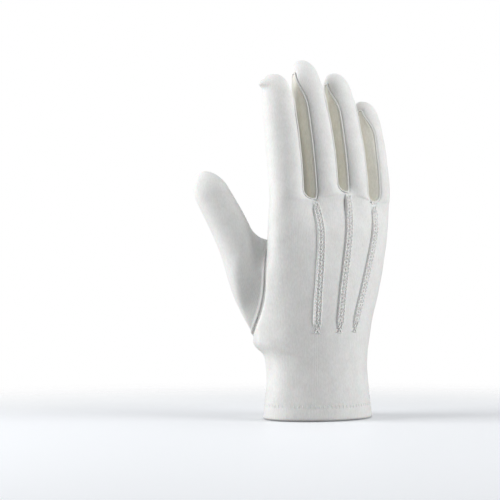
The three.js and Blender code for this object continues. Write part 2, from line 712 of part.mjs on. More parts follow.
// A raised stitched line on the back: three low ridges with two grooves, on one column of the palm grid
function pointGeometry(palm, directions, column) {
  const profile = [
    { across: -0.50, rise: 0.45 },
    { across: -0.36, rise: 1.00 },
    { across: -0.18, rise: 0.45 },
    { across: 0.00, rise: 1.00 },
    { across: 0.18, rise: 0.45 },
    { across: 0.36, rise: 1.00 },
    { across: 0.50, rise: 0.45 },
  ];
  const rises = palm.heights.map((height) => height / palmLength);
  const { top, foot } = pointColumnAt;
  const rows = palm.grid.slice(1).filter((ids, i) => rises[i] <= top && rises[i] >= foot);
  const count = profile.length + 3;
  const positions = rows.flatMap((ids) => {
    const at = (id) => skin.points[id];
    const [left, middle, right] = [ids[column - 1], ids[column], ids[column + 1]];
    const place = (across, rise) => {
      const side = across < 0 ? left : right;
      const share = Math.abs(across) * pointWidth / at(middle).distanceTo(at(side));
      const out = directions[middle].clone().lerp(directions[side], share);
      return at(middle).clone().lerp(at(side), share).addScaledVector(out, seamGap + rise * pointHeight);
    };
    const loop = profile.map((row) => place(row.across, row.rise));
    loop.push(place(0.5, 0), place(0, 0), place(-0.5, 0));
    return loop.flatMap((point) => point.toArray());
  });
  const indexes = [];
  for (let row = 0; row < rows.length - 1; row += 1) {
    for (let i = 0; i < count; i += 1) {
      const j = (i + 1) % count;
      const [a, b, c, d] = [row * count + i, row * count + j, (row + 1) * count + j, (row + 1) * count + i];
      indexes.push(a, c, b, a, d, c);
    }
  }
  const end = (rows.length - 1) * count;
  const floor = [count - 1, count - 2, count - 3];
  const capSides = [[floor[0], 0, 1], [floor[0], 1, 2], [floor[0], 2, floor[1]], [floor[1], 2, 3],
    [floor[1], 3, 4], [floor[1], 4, floor[2]], [floor[2], 4, 5], [floor[2], 5, 6]];
  capSides.forEach(([a, b, c]) => {
    indexes.push(a, b, c);
    indexes.push(end + a, end + c, end + b);
  });
  return geometryFrom(positions, indexes);
}

function knitMaterial(color, roughness) {
  return new THREE.MeshStandardMaterial({ color, roughness, metalness: 0 });
}

const bases = fingers.map((finger, index) => buildFinger(finger, index));
const ring = palmColumns(bases);
const palm = palmGrid(ring);
const hole = holeBlock(ring, palm);
buildPalm(ring, palm, hole);
buildThumb(hole, palm);
const directions = skinDirections();

const glove = new THREE.Group();

function addPiece(name, geometry, material) {
  const mesh = new THREE.Mesh(geometry, material);
  mesh.name = name;
  glove.add(mesh);
}

for (const name of ['trank', 'thumb', ...crotches.map((crotch) => 'fourchette_' + crotch.name)]) {
  const cells = skin.cells.filter((cell) => cell.piece === name);
  const colour = name.startsWith('fourchette') ? '#e4e3dc' : '#efeeea';
  addPiece(name, clothGeometry(cells, directions, 0, wall), knitMaterial(colour, 0.9));
}

// The turned-up hem lies inside the lowest row of the palm grid
const hemCells = [];
const lastRow = palm.grid.length - 1;
for (let i = 0; i < ring.length; i += 1) {
  const j = (i + 1) % ring.length;
  const [low, high] = [palm.grid[lastRow], palm.grid[lastRow - 1]];
  hemCells.push({ corners: [low[i], low[j], high[j], high[i]] });
}
const hemDepth = wall + seamGap;
const hemGeometry = clothGeometry(hemCells, directions, hemDepth, hemDepth + hemCloth);
addPiece('cuff_hem', hemGeometry, knitMaterial('#ecebe6', 0.9));

const pointNames = ['point_index', 'point_middle', 'point_ring'];
pointNames.forEach((name, i) => {
  addPiece(name, pointGeometry(palm, directions, (i + 1) * backCells), knitMaterial('#f2f1ed', 0.88));
});

export default glove;
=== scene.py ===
import math
import bpy
import numpy as np
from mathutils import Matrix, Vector


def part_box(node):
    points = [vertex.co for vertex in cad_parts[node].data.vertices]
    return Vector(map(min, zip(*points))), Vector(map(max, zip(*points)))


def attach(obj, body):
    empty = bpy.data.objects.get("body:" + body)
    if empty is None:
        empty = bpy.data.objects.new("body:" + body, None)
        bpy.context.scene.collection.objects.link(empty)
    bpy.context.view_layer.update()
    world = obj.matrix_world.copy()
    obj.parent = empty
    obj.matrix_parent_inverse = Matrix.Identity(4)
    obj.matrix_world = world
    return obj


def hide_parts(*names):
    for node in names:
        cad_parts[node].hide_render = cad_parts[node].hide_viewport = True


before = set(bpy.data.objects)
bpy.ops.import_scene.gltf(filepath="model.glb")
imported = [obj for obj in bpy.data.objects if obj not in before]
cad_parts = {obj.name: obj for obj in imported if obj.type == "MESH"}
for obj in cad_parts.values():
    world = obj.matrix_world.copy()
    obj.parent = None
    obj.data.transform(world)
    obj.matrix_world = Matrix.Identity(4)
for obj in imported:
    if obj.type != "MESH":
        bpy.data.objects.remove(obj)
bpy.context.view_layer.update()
print("frame loaded:", sorted(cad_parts))

# The hand of the glove in millimetres; widths and depths are shares of the size that their row names
hand = {
    "palmLength": 150,
    "halfWidths": {"hem": 39.6, "wrist": 36.5, "palm": 46.8},
    "halfDepths": {"hem": 30, "wrist": 28, "palm": 17.5},
    "sections": {
        "rise":    [0.000, 0.133, 0.253, 0.413, 0.573, 0.747, 0.880, 1.000],
        "size":    ["hem", "hem", "wrist", "wrist", "palm", "palm", "palm", "palm"],
        "width":   [1.000, 0.940, 1.000, 1.055, 0.908, 0.972, 1.000, 1.000],
        "back":    [1.000, 0.950, 1.000, 0.946, 1.343, 1.143, 1.000, 0.914],
        "front":   [1.000, 0.950, 1.000, 0.964, 1.371, 1.143, 0.914, 0.743],
        "right":   [0.020, 0.010, 0.000, 0.014, 0.043, 0.070, 0.085, 0.096],
        "toFront": [0.00, 0.00, 0.00, -0.07, -0.26, -0.40, -0.49, -0.60],
        "square":  [2.00, 2.00, 2.00, 2.05, 2.15, 2.30, 2.40, 2.40],
    },
    "wristAnglesBack": [-62, -28.5, -3.5, 14.8, 56],
    "wristAnglesFront": [112, 140, 165, 195, 236],
    "bowBack": [0, 3, 0.5, -1, 0],
    "bowPeak": 27 / 256,      # the greatest value of t^3 (1 - t)
    "bumpEnd": 0.82,          # where the bumps under the fingers have faded, as a share of palmLength
    "holeFoot": 0.295,        # where the rows that leave room for the thumb end, as a share of palmLength
    "sideFrom": 0.75, "sideFade": 0.2,    # shares of the half width, from where palmAngle goes by direction
    "wall": 1.3,
    "hemHeight": 10,
}
fingers = {
    "reachOfAll": 90, "halfWidth": 11.1, "halfDepth": 11.4,
    "right": [-0.660, -0.120, 0.421, 0.900], "toFront": [-0.514, -0.743, -0.743, -0.486],
    "reach": [0.880, 1.000, 0.918, 0.714], "lean": [-0.037, -0.033, -0.008, 0.000],
    "curl": [0.130, 0.211, 0.248, 0.226], "thick": [1.02, 1.00, 0.98, 0.93], "turn": [-4, 0, 2, 34],
    "profile": {"along": [0.00, 0.18, 0.50, 0.75, 0.87, 1.00], "thick": [0.97, 1.00, 1.00, 0.94, 0.84, 0.70]},
    "curlPower": 1.5, "tipStart": 0.86, "tipSquare": 2.4,
    "earReach": 3.9, "earAlong": 0.915, "earBelow": 0.024, "earAbove": 0.050,
    "earAngle": 262, "earSpread": 32,
}
crotches = {
    "names": ["index_middle", "middle_ring", "ring_little"],
    "rise": [0.971, 1.003, 0.961], "right": [0.045, 0.040, 0.040],
    "back": [0.88, 0.92, 0.80], "front": [0.62, 0.74, 0.70],
    "round": 7, "arch": 2,
}
strips = {"angleBase": 41, "angleTop": 47, "end": 0.9, "pointFrom": 0.6, "pointShrink": 0.76,
          "narrowing": 0.2, "gap": 0.3}
thumb = {
    "holeMiddle": 224, "holeHalfAngle": 29, "holeTop": 0.773, "holeLength": 65,
    "holeRound": 0.9, "holeNarrow": 0.12,
    "reach": 47.5, "halfWidth": 14.6, "halfDepth": 13.4, "ball": 8.5, "ballAngle": 240, "ballSpread": 40,
    "ballBelow": 0.14, "ballAbove": 0.34, "tipStart": 0.87, "tipSquare": 2.2,
    "blend": 0.42, "webBlend": 0.20, "webNarrow": 6,      # shares of its length in which it turns round
    "inward": [0.93, -0.36, 0.0],
    "spine": {
        "rise":    [0.00, 0.31, 0.55, 0.715, 0.90, 1.00],
        "right":   [-0.640, -0.915, -1.115, -1.272, -1.478, -1.605],
        "toFront": [0.46, 0.63, 0.88, 1.12, 1.46, 1.68],
        "thick":   [1.05, 1.05, 0.89, 0.85, 0.78, 0.70],
    },
}
# Folds run from one place to another: angles in degrees, rises as shares of palmLength,
# deep and wide in millimetres
folds = {
    "angle":    [196, 208, 150, 128, 132, 150, 232, 258, 172, 140, 214, -84, -70, 66],
    "rise":     [0.27, 0.25, 0.25, 0.26, 0.42, 0.44, 0.26, 0.28, 0.25, 0.27, 0.36, 0.36, 0.30, 0.31],
    "angleEnd": [186, 202, 158, 124, 152, 170, 226, 264, 168, 143, 196, -60, -52, 84],
    "riseEnd":  [0.02, 0.03, 0.04, 0.06, 0.30, 0.31, 0.06, 0.13, 0.05, 0.03, 0.31, 0.31, 0.27, 0.24],
    "deep":     [-3.1, 1.9, -2.4, -1.4, -2.4, -1.9, -1.7, -1.44, 0.7, 0.8, -1.0, -0.45, -0.35, -0.4],
    "wide":     [5.0, 4.5, 4.5, 4.0, 4.5, 4.5, 5.0, 9.0, 3.0, 2.6, 3.2, 4.5, 4.0, 5.0],
}
foldEnds = [0.12, 0.88]        # the part of a half sine that a fold's depth follows from end to end
shirr = {"deep": 1.8, "height": 43, "spread": 9, "sharp": 4, "puckers": 18, "puckerShare": 0.35,
         "puckerAt": 0.7, "frontReach": 100, "frontFade": 30,
         "fineDeep": 0.55, "fineEvery": 5.2, "fineTall": 5.5, "zigzag": 1.6}
gridFineness = {"back": 22, "front": 18, "strip": 13, "side": 16, "palmStep": 1.12,
                "fingerRows": 62, "fingerPower": 1.25, "domeRows": 15, "apart": 0.004, "lastRow": 0.9985,
                "holeRings": 11, "holePower": 0.8,
                "thumbRows": 78, "thumbPower": 1.1, "thumbSecond": 0.4, "thumbDomeRows": 14}
tiny = 1e-6      # millimetres or shares, so that a row at a limit counts as inside it

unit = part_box("trank")[1].z / (hand["palmLength"] + fingers["reachOfAll"])    # metres for one millimetre


def mix(a, b, share):
    return a + (b - a) * share


def ease(value):
    t = np.clip(value, 0, 1)
    return t * t * (3 - 2 * t)


def bend(value, power):
    return np.sign(value) * np.abs(value) ** power


def bell(value, middle, wide):
    # exp(-((value - middle) / wide)^2)
    return np.exp(-((value - middle) / wide) ** 2)


def unitRows(rows):
    return rows / np.linalg.norm(rows, axis=-1, keepdims=True)


def arcOf(path):
    # The length along a path at each of its points: the running sum of |p[i+1] - p[i]|
    return np.concatenate([[0], np.cumsum(np.linalg.norm(np.diff(path, axis=0), axis=1))])


def ringCells(ids):
    # Quads between neighbouring rows of numbers whose columns close round
    right = np.roll(ids, -1, 1)
    return np.stack([ids[:-1], ids[1:], right[1:], right[:-1]], -1).reshape(-1, 4)


def through(xs, values, at):
    # Cubic Hermite curve through table rows, slope of a row = (next - previous) / (their distance)
    xs, values = np.asarray(xs, float), np.asarray(values, float)
    last = len(xs) - 1
    low, high = np.maximum(np.arange(last + 1) - 1, 0), np.minimum(np.arange(last + 1) + 1, last)
    slope = (values[high] - values[low]) / (xs[high] - xs[low])
    x = np.clip(at, xs[0], xs[-1])
    i = np.clip(np.searchsorted(xs, x, side="left") - 1, 0, last - 1)
    span = xs[i + 1] - xs[i]
    t = (x - xs[i]) / span
    bow = span * t * (1 - t) * ((1 - t) * slope[i] - t * slope[i + 1])
    return mix(values[i], values[i + 1], ease(t)) + bow


def turnBetween(start, end):
    # The shortest way in degrees from one place round the palm to another
    return end - start - 360 * np.round((end - start) / 360)


def reliefAt(angle, z):
    # Sum over folds of deep * sin(along) * bell(away) * bell(beyond), plus the gathers
    # and the ball of the thumb
    meanRadius = (hand["halfWidths"]["wrist"] + hand["halfDepths"]["wrist"]) / 2
    degrees = np.degrees(angle)
    rise = z / hand["palmLength"]
    lift = np.zeros(np.broadcast(angle, z).shape)
    for angleA, riseA, angleB, riseB, deep, wide in zip(*folds.values()):
        along = np.clip((rise - riseA) / (riseB - riseA), 0, 1)
        away = np.radians(turnBetween(mix(angleA, angleB, along), degrees)) * meanRadius
        beyond = (rise - mix(riseA, riseB, along)) * hand["palmLength"]
        ends = np.sin(np.pi * mix(*foldEnds, along))
        lift += deep * ends * bell(away, 0, wide) * bell(beyond, 0, wide)
    frontShare = ease((shirr["frontReach"] - np.abs(turnBetween(180, degrees))) / shirr["frontFade"])
    fromShirr = (z - shirr["height"]) / shirr["spread"]
    nearLine = bell(np.abs(fromShirr), shirr["puckerAt"], 1)
    pucker = shirr["puckerShare"] * np.cos(shirr["puckers"] * angle) * nearLine
    lift += shirr["deep"] * frontShare * (pucker - np.exp(-shirr["sharp"] * fromShirr ** 2))
    arc = angle * meanRadius
    fineHeight = shirr["height"] + shirr["zigzag"] * np.sin(2 * np.pi * arc / (2 * shirr["fineEvery"]))
    fine = np.cos(2 * np.pi * arc / shirr["fineEvery"]) * bell(z, fineHeight, shirr["fineTall"])
    lift += shirr["fineDeep"] * frontShare * fine
    ballFoot = thumb["holeTop"] * hand["palmLength"] - thumb["holeLength"]
    ballReach = np.where(z < ballFoot, thumb["ballBelow"], thumb["ballAbove"]) * thumb["holeLength"]
    aside = turnBetween(thumb["ballAngle"], degrees)
    return lift + thumb["ball"] * bell(aside, 0, thumb["ballSpread"]) * bell(z, ballFoot, ballReach)


def sectionAt(z):
    # Each column of the section table at the height z, as a length
    rows = hand["sections"]
    halfWidth = np.array([hand["halfWidths"][name] for name in rows["size"]])
    halfDepth = np.array([hand["halfDepths"][name] for name in rows["size"]])
    sized = {"right": halfWidth, "width": halfWidth, "square": 1}
    sized.update({name: halfDepth for name in ("toFront", "back", "front")})
    rise = z / hand["palmLength"]
    return {name: through(rows["rise"], rows[name] * size, rise) for name, size in sized.items()}


def palmPoint(angle, z):
    # x = right + (width + relief) sin^p, y = toFront - (depth + relief) cos^p, p = 2 / square
    angle, z = np.broadcast_arrays(angle, z)
    section = sectionAt(z)
    relief = reliefAt(angle, z)
    power = 2 / section["square"]
    depth = np.where(np.cos(angle) > 0, section["back"], section["front"])
    x = section["right"] + (section["width"] + relief) * bend(np.sin(angle), power)
    y = section["toFront"] - (depth + relief) * bend(np.cos(angle), power)
    return np.stack([x, y, z.astype(float)], -1)


def palmAngle(points):
    # The angle whose palm point has the same x on back and palm, or the same direction near the sides
    section = sectionAt(np.minimum(hand["palmLength"], points[:, 2]))
    power = section["square"] / 2
    across = (points[:, 0] - section["right"]) / section["width"]
    depth = np.where(points[:, 1] < section["toFront"], section["back"], section["front"])
    fore = -(points[:, 1] - section["toFront"]) / depth
    beside = ease((np.abs(across) - hand["sideFrom"]) / hand["sideFade"])
    level = np.sign(fore) * np.maximum(0, 1 - np.abs(across) ** section["square"]) ** (1 / section["square"])
    return np.arctan2(bend(across, power), bend(mix(level, fore, beside), power))


def fingerPoint(f, angle, z, foot):
    # A circle of radius thick * (1 - past^n)^(1/n) on a spine that curls by along^1.5
    reach = fingers["reach"][f] * fingers["reachOfAll"]
    tip = hand["palmLength"] + reach
    along = np.clip((z - foot) / (tip - foot), 0, 1)
    flex = along ** fingers["curlPower"]
    past = np.clip((along - fingers["tipStart"]) / (1 - fingers["tipStart"]), 0, 1)
    dome = (1 - past ** fingers["tipSquare"]) ** (1 / fingers["tipSquare"])
    profile = fingers["profile"]
    thick = fingers["thick"][f] * dome * through(profile["along"], profile["thick"], along)
    turned = math.radians(fingers["turn"][f])
    across = thick * fingers["halfWidth"] * np.sin(angle)
    fore = -thick * fingers["halfDepth"] * np.cos(angle)
    x = fingers["right"][f] * hand["halfWidths"]["palm"] + fingers["lean"][f] * reach * flex
    y = fingers["toFront"][f] * hand["halfDepths"]["palm"] + fingers["curl"][f] * reach * flex
    x = x + across * math.cos(turned) - fore * math.sin(turned)
    y = y + across * math.sin(turned) + fore * math.cos(turned)
    return np.stack(np.broadcast_arrays(x, y, z), -1)


def crotchPoint(c, share):
    # The saddle between two fingers, from its back edge at share 0 to its palm edge at share 1
    palm, deep = hand["halfWidths"]["palm"], fingers["halfDepth"]
    near = fingers["right"][c] * palm + fingers["thick"][c] * fingers["halfWidth"]
    far = fingers["right"][c + 1] * palm - fingers["thick"][c + 1] * fingers["halfWidth"]
    middle = (fingers["toFront"][c] + fingers["toFront"][c + 1]) / 2 * hand["halfDepths"]["palm"]
    x = (near + far) / 2 + crotches["right"][c] * palm * (1 - share)
    y = mix(middle - crotches["back"][c] * deep, middle + crotches["front"][c] * deep, share)
    z = crotches["rise"][c] * hand["palmLength"] + crotches["arch"] * np.sin(np.pi * share)
    return np.stack(np.broadcast_arrays(x, y, z), -1)


def crotchPull(above):
    # A quarter circle: 1 at the crotch, 0 above its round
    share = 1 - np.clip(above / crotches["round"], 0, 1)
    return 1 - np.sqrt(1 - share ** 2)


def stripAngle(along):
    # Half the turn that a strip takes up, wider towards its end and pointed at it
    angle = mix(strips["angleBase"], strips["angleTop"], ease(along / strips["end"]))
    pointed = ease((along - strips["pointFrom"]) / (strips["end"] - strips["pointFrom"]))
    return np.radians(angle * (1 - strips["pointShrink"] * pointed ** 2))


def crowded(cells):
    # Shares from 0 to 1 that stand closer together near both ends
    even = np.linspace(0, 1, cells + 1)
    return 0.5 * even + 0.5 * (1 - np.cos(np.pi * even)) / 2


def fingerColumns(f):
    # Round the finger from the back: kind 0 back, 1 far side, 2 front, 3 near side, with shares across each
    inner = crowded(gridFineness["side"])[1:-1]
    runs = [
        (0, crowded(gridFineness["back"]), -1),
        (1, crowded(gridFineness["strip"]), f) if f < 3 else (1, inner, -1),
        (2, crowded(gridFineness["front"]), -1),
        (3, crowded(gridFineness["strip"]), f - 1) if f > 0 else (3, inner, -1),
    ]
    kind = np.concatenate([np.full(len(shares), k) for k, shares, _ in runs])
    crotch = np.concatenate([np.full(len(shares), c) for _, shares, c in runs])
    return kind, np.concatenate([shares for _, shares, _ in runs]), crotch


def stripShare(share, crotch, along):
    # The share across a strip, with a seam gap left free at both edges
    gap = strips["gap"] / (2 * fingers["halfDepth"] * stripAngle(along) * (1 - strips["narrowing"] * along))
    return np.where(crotch >= 0, mix(gap, 1 - gap, share), share)


def columnAngle(kind, share, crotch, along):
    # Panels take the turn that the strips leave: back to far side, front and near side, a quarter on average
    panel = np.pi / 2 - stripAngle(along)
    turn = stripShare(share, crotch, along)
    starts = [-panel, panel, np.pi - panel, np.pi + panel]
    ends = [panel, np.pi - panel, np.pi + panel, 2 * np.pi - panel]
    angles = [mix(starts[k], ends[k], share if k % 2 == 0 else turn) for k in range(4)]
    return np.select([kind == k for k in range(4)], angles)


def fingerGrid(f):
    # Rows along the finger times columns round it; near the crotches each side leans over to the saddle line
    kind, share, crotch = fingerColumns(f)
    outer = [crotches["rise"][min(2, max(0, i))] * hand["palmLength"] for i in (f - 1, f)]
    pulls = []                     # (crotch, share along its saddle, weight) for each neighbouring crotch
    atBase = stripShare(share, crotch, 0)
    across = np.where(kind == 0, share, 1 - share)
    foot = np.where(kind == 1, outer[1] if f == 3 else 0, mix(outer[0], outer[1], across))
    foot = np.where(kind == 3, outer[0], foot) if f == 0 else foot
    for c, stripKind in ((f - 1, 3), (f, 1)):
        if not 0 <= c <= 2:
            continue
        saddle = np.select([kind == 0, kind == 2, kind == 1], [0, 1, atBase], 1 - atBase)
        panelWeight = (1 - across) ** 2 if stripKind == 3 else across ** 2
        weight = np.where(kind == stripKind, 1, np.where(kind % 2 == 0, panelWeight, 0))
        foot = np.where(kind == stripKind, crotchPoint(c, saddle)[:, 2], foot)
        pulls.append((crotchPoint(c, saddle), weight))
    rows = fingerRows(f)
    along = rows[:, None]
    tip = hand["palmLength"] + fingers["reach"][f] * fingers["reachOfAll"]
    z = mix(foot[None], tip, along)
    points = fingerPoint(f, columnAngle(kind, share, crotch, along), z, foot)
    start = fingerPoint(f, columnAngle(kind, share, crotch, 0), foot, foot)
    pull = crotchPull(z - foot)
    for saddlePoints, weight in pulls:
        points[..., :2] += (saddlePoints - start)[:, :2] * (pull * weight)[..., None]
    if f == 0:
        angle = np.degrees(columnAngle(kind, share, crotch, along)) % 360
        earTall = np.where(along < fingers["earAlong"], fingers["earBelow"], fingers["earAbove"])
        ear = bell(angle, fingers["earAngle"], fingers["earSpread"])
        points[..., 0] -= fingers["earReach"] * ear * bell(along, fingers["earAlong"], earTall)
    return rows, points, kind, share, crotch


def fingerRows(f):
    # Shares along the finger: denser at the base, a dome past = sin^(2/n), and the end of the strips
    base = np.linspace(0, 1, gridFineness["fingerRows"]) ** gridFineness["fingerPower"] * fingers["tipStart"]
    theta = np.linspace(0, 1, gridFineness["domeRows"] + 1)[1:-1] * np.pi / 2
    dome = fingers["tipStart"] + (1 - fingers["tipStart"]) * np.sin(theta) ** (2 / fingers["tipSquare"])
    seamTop = strips["end"] + strips["gap"] / (fingers["reach"][f] * fingers["reachOfAll"])
    rows = np.concatenate([base, dome])
    rows = rows[(np.abs(rows - strips["end"]) > gridFineness["apart"]) & (rows < gridFineness["lastRow"])]
    return np.unique(np.concatenate([rows, [strips["end"], seamTop]]))


# The skin of the whole glove: every grid adds points, cells and cloth coordinates, and mergeSkin joins them
skin = {"points": [], "uv": [], "cells": [], "labels": [], "count": 0}
labelOf = {"hole": -2, "seam": -1, "trank": 0, "thumb": 1, "strips": 2}


def addGrid(points, uv, labels, flip=False):
    # Quads between neighbouring rows and columns, closed round where the labels are as wide as the points
    rows, columns = points.shape[:2]
    ids = skin["count"] + np.arange(rows * columns).reshape(rows, columns)
    right = np.roll(ids, -1, 1)[:, :labels.shape[1]]
    ids = ids[:, :labels.shape[1]]
    cells = np.stack([ids[:-1], right[:-1], right[1:], ids[1:]], -1)
    if flip:
        cells = cells[..., ::-1]
    skin["points"].append(points.reshape(-1, 3))
    skin["uv"].append(uv.reshape(-1, 2))
    skin["cells"].append(cells.reshape(-1, 4))
    skin["labels"].append(labels.ravel())
    skin["count"] += rows * columns


def addTip(ring, apex, uvRing, label, flip=False):
    # Closes a tip with a fan to one apex, as quads whose two upper corners coincide
    points = np.stack([ring, np.repeat(apex[None], len(ring), 0)])
    uv = np.stack([uvRing, uvRing + [0, 1]])
    addGrid(points, uv, np.full((1, len(ring)), label), flip)


def buildFingers():
    # Each finger's grid with a label for each column: strip, seam beside a strip, or trank
    bases = []
    for f in range(4):
        rows, points, kind, share, crotch = fingerGrid(f)
        angle = columnAngle(kind, share, crotch, 0)
        uv = np.stack(np.broadcast_arrays(angle[None] * fingers["halfDepth"], points[..., 2]), -1)
        isStrip = crotch >= 0
        following = np.roll(isStrip, -1)
        seamTop = strips["end"] + tiny
        inTip, crossing = rows[:-1] > seamTop, (rows[1:] > seamTop) & (rows[:-1] <= seamTop)
        beside = np.where(isStrip ^ following, labelOf["seam"], labelOf["trank"])
        label = np.where(isStrip & following, labelOf["strips"] + crotch, beside)
        labels = np.repeat(label[None], len(rows) - 1, 0)
        labels[crossing] = np.where(isStrip | following, labelOf["seam"], labelOf["trank"])
        labels[inTip] = labelOf["trank"]
        addGrid(points, uv, labels)
        tip = hand["palmLength"] + fingers["reach"][f] * fingers["reachOfAll"]
        apex = fingerPoint(f, np.array(0.0), np.array(tip), np.array(hand["palmLength"]))
        addTip(points[-1], apex, uv[-1], labelOf["trank"])
        bases.append({"points": points[0], "kind": kind, "share": share, "grid": points, "rows": rows})
    return bases


def palmRing(bases):
    # The finger bases in order round the palm: backs of index to little, little's side, palm sides,
    # thumb side
    runs = [(f, 0) for f in range(4)] + [(3, 1)] + [(f, 2) for f in (3, 2, 1, 0)] + [(0, 3)]
    ring = {"points": [], "wrist": [], "bow": [], "isFirstOf": {}}
    count = 0
    for f, kind in runs:
        chosen = np.flatnonzero(bases[f]["kind"] == kind)
        if (kind == 0 and f < 3) or (kind == 2 and f > 0):
            chosen = chosen[:-1]
        share = bases[f]["share"][chosen]
        bow = np.zeros(len(share))
        if kind == 0:
            wrist = mix(hand["wristAnglesBack"][f], hand["wristAnglesBack"][f + 1], share)
            bow = mix(hand["bowBack"][f], hand["bowBack"][f + 1], share)
        elif kind == 2:
            wrist = mix(hand["wristAnglesFront"][3 - f], hand["wristAnglesFront"][4 - f], share)
        elif kind == 1:
            wrist = mix(hand["wristAnglesBack"][4], hand["wristAnglesFront"][0], share)
        else:
            wrist = mix(hand["wristAnglesFront"][4], 360 + hand["wristAnglesBack"][0], share)
        ring["isFirstOf"][(f, kind)] = count
        ring["points"].append(bases[f]["points"][chosen])
        ring["wrist"].append(np.radians(wrist))
        ring["bow"].append(np.radians(bow))
        count += len(chosen)
    for name in ("points", "wrist", "bow"):
        ring[name] = np.concatenate(ring[name])
    return ring


def palmAngles(ring, topAngle, z):
    # From the wrist angle to the finger base's own, with a slight bow under the points
    t = np.clip((z - shirr["height"]) / (ring["points"][:, 2] - shirr["height"]), 0, 1)
    return mix(ring["wrist"], topAngle, ease(t)) + ring["bow"] * t ** 3 * (1 - t) / hand["bowPeak"]


def palmGrid(ring):
    # Rows from the finger bases to the hem; the bumps between them fade out by bumpEnd
    length = hand["palmLength"]
    fadeEnd = hand["bumpEnd"] * length
    top = palmAngle(ring["points"])
    top = top + 2 * np.pi * np.round((ring["wrist"] - top) / (2 * np.pi))
    holeFoot = hand["holeFoot"] * length
    step = gridFineness["palmStep"]
    spans = [(length, fadeEnd), (fadeEnd, holeFoot), (holeFoot, hand["hemHeight"]), (hand["hemHeight"], 0)]
    heights = np.concatenate([np.linspace(a, b, max(2, round((a - b) / step)) + 1)[1:] for a, b in spans])
    h = heights[:, None]
    baseZ = ring["points"][:, 2]
    z = np.where(h > fadeEnd, mix(fadeEnd, baseZ, (h - fadeEnd) / (length - fadeEnd)), h)
    angles = palmAngles(ring, top, z)
    points = palmPoint(angles, z)
    start = palmPoint(top, np.minimum(length, baseZ))
    bump = ease((z - fadeEnd) / (baseZ - fadeEnd))
    points[..., :2] += (ring["points"] - start)[:, :2] * bump[..., None]
    points = np.concatenate([ring["points"][None], points])
    angles = np.concatenate([top[None], angles])
    z = np.concatenate([baseZ[None], z])
    return points, angles, z, np.concatenate([[length], heights])


def holePlace(turn):
    # The rim of the thumb hole: an oval in angle and height, narrower at its foot
    middle = thumb["holeTop"] * hand["palmLength"] - thumb["holeLength"] / 2
    narrow = 1 + thumb["holeNarrow"] * np.cos(turn)
    angle = thumb["holeMiddle"] + thumb["holeHalfAngle"] * narrow * bend(np.sin(turn), thumb["holeRound"])
    return np.radians(angle), middle + thumb["holeLength"] / 2 * np.cos(turn)


def thumbSpine(share):
    # Cubic curves through the spine rows, and the direction from a hundredth below to a hundredth above
    rows = thumb["spine"]
    foot = thumb["holeTop"] * hand["palmLength"] - thumb["holeLength"]

    def place(at):
        x = through(rows["rise"], rows["right"], at) * hand["halfWidths"]["palm"]
        y = through(rows["rise"], rows["toFront"], at) * hand["halfDepths"]["palm"]
        return np.stack([x, y, foot + at * (thumb["holeLength"] + thumb["reach"])], -1)

    along = place(np.minimum(1, share + 0.01)) - place(np.maximum(0, share - 0.01))
    return place(share), unitRows(along), through(rows["rise"], rows["thick"], share)


def thumbTubePoint(turn, share):
    # spine + inward * halfWidth cos(turn) + toBack * halfDepth sin(turn), thinner by the dome at the tip
    at, along, thick = thumbSpine(share)
    inward = np.array(thumb["inward"]) - along * (along @ np.array(thumb["inward"]))[..., None]
    inward = unitRows(inward)
    toBack = np.cross(inward, along)
    past = np.clip((share - thumb["tipStart"]) / (1 - thumb["tipStart"]), 0, 1)
    thick = thick * (1 - past ** thumb["tipSquare"]) ** (1 / thumb["tipSquare"])
    across = (thick * thumb["halfWidth"] * np.cos(turn))[..., None]
    fore = (thick * thumb["halfDepth"] * np.sin(turn))[..., None]
    return at + inward * across + toBack * fore


def thumbShareBeside(points):
    # Thirty halvings for the spine share whose cross-section holds the point
    low, high = np.zeros(len(points)), np.ones(len(points))
    for _ in range(30):
        share = (low + high) / 2
        at, along, _ = thumbSpine(share)
        above = ((points - at) * along).sum(-1) > 0
        low, high = np.where(above, share, low), np.where(above, high, share)
    return (low + high) / 2


def buildPalm(bases):
    # The palm's grid with cloth coordinates u = length round the finger bases, v = height, and the border
    # of the cells that are left out round the thumb's hole
    ring = palmRing(bases)
    points, angles, z, heights = palmGrid(ring)
    arc = arcOf(np.concatenate([ring["points"], ring["points"][:1]]))
    uv = np.stack(np.broadcast_arrays(arc[None, :-1], z), -1)
    rowTop = int(np.argmin(np.abs(heights - hand["bumpEnd"] * hand["palmLength"])))
    rowFoot = int(np.argmin(np.abs(heights - hand["holeFoot"] * hand["palmLength"])))
    first = ring["isFirstOf"][(1, 2)] + gridFineness["front"] // 2
    last = ring["isFirstOf"][(0, 3)] - 1 + gridFineness["side"] // 2
    labels = np.zeros((len(points) - 1, points.shape[1]), int)
    labels[rowTop:rowFoot, first:last] = labelOf["hole"]
    wrapped = np.concatenate([points, points[:, :1]], 1)
    wrappedUv = np.concatenate([uv, uv[:, :1] + [arc[-1], 0]], 1)
    addGrid(wrapped, wrappedUv, labels, flip=True)
    width, tall = last - first, rowFoot - rowTop
    borderRows = np.concatenate([np.full(width, rowTop), np.arange(rowTop, rowFoot), np.full(width, rowFoot),
                                 np.arange(rowFoot, rowTop, -1)])
    borderColumns = np.concatenate([np.arange(first, last), np.full(tall, last), np.arange(last, first, -1),
                                    np.full(tall, first)])
    border = {"angle": angles[borderRows, borderColumns], "z": z[borderRows, borderColumns],
              "points": points[borderRows, borderColumns], "uv": uv[borderRows, borderColumns]}
    return ring, points, z, border


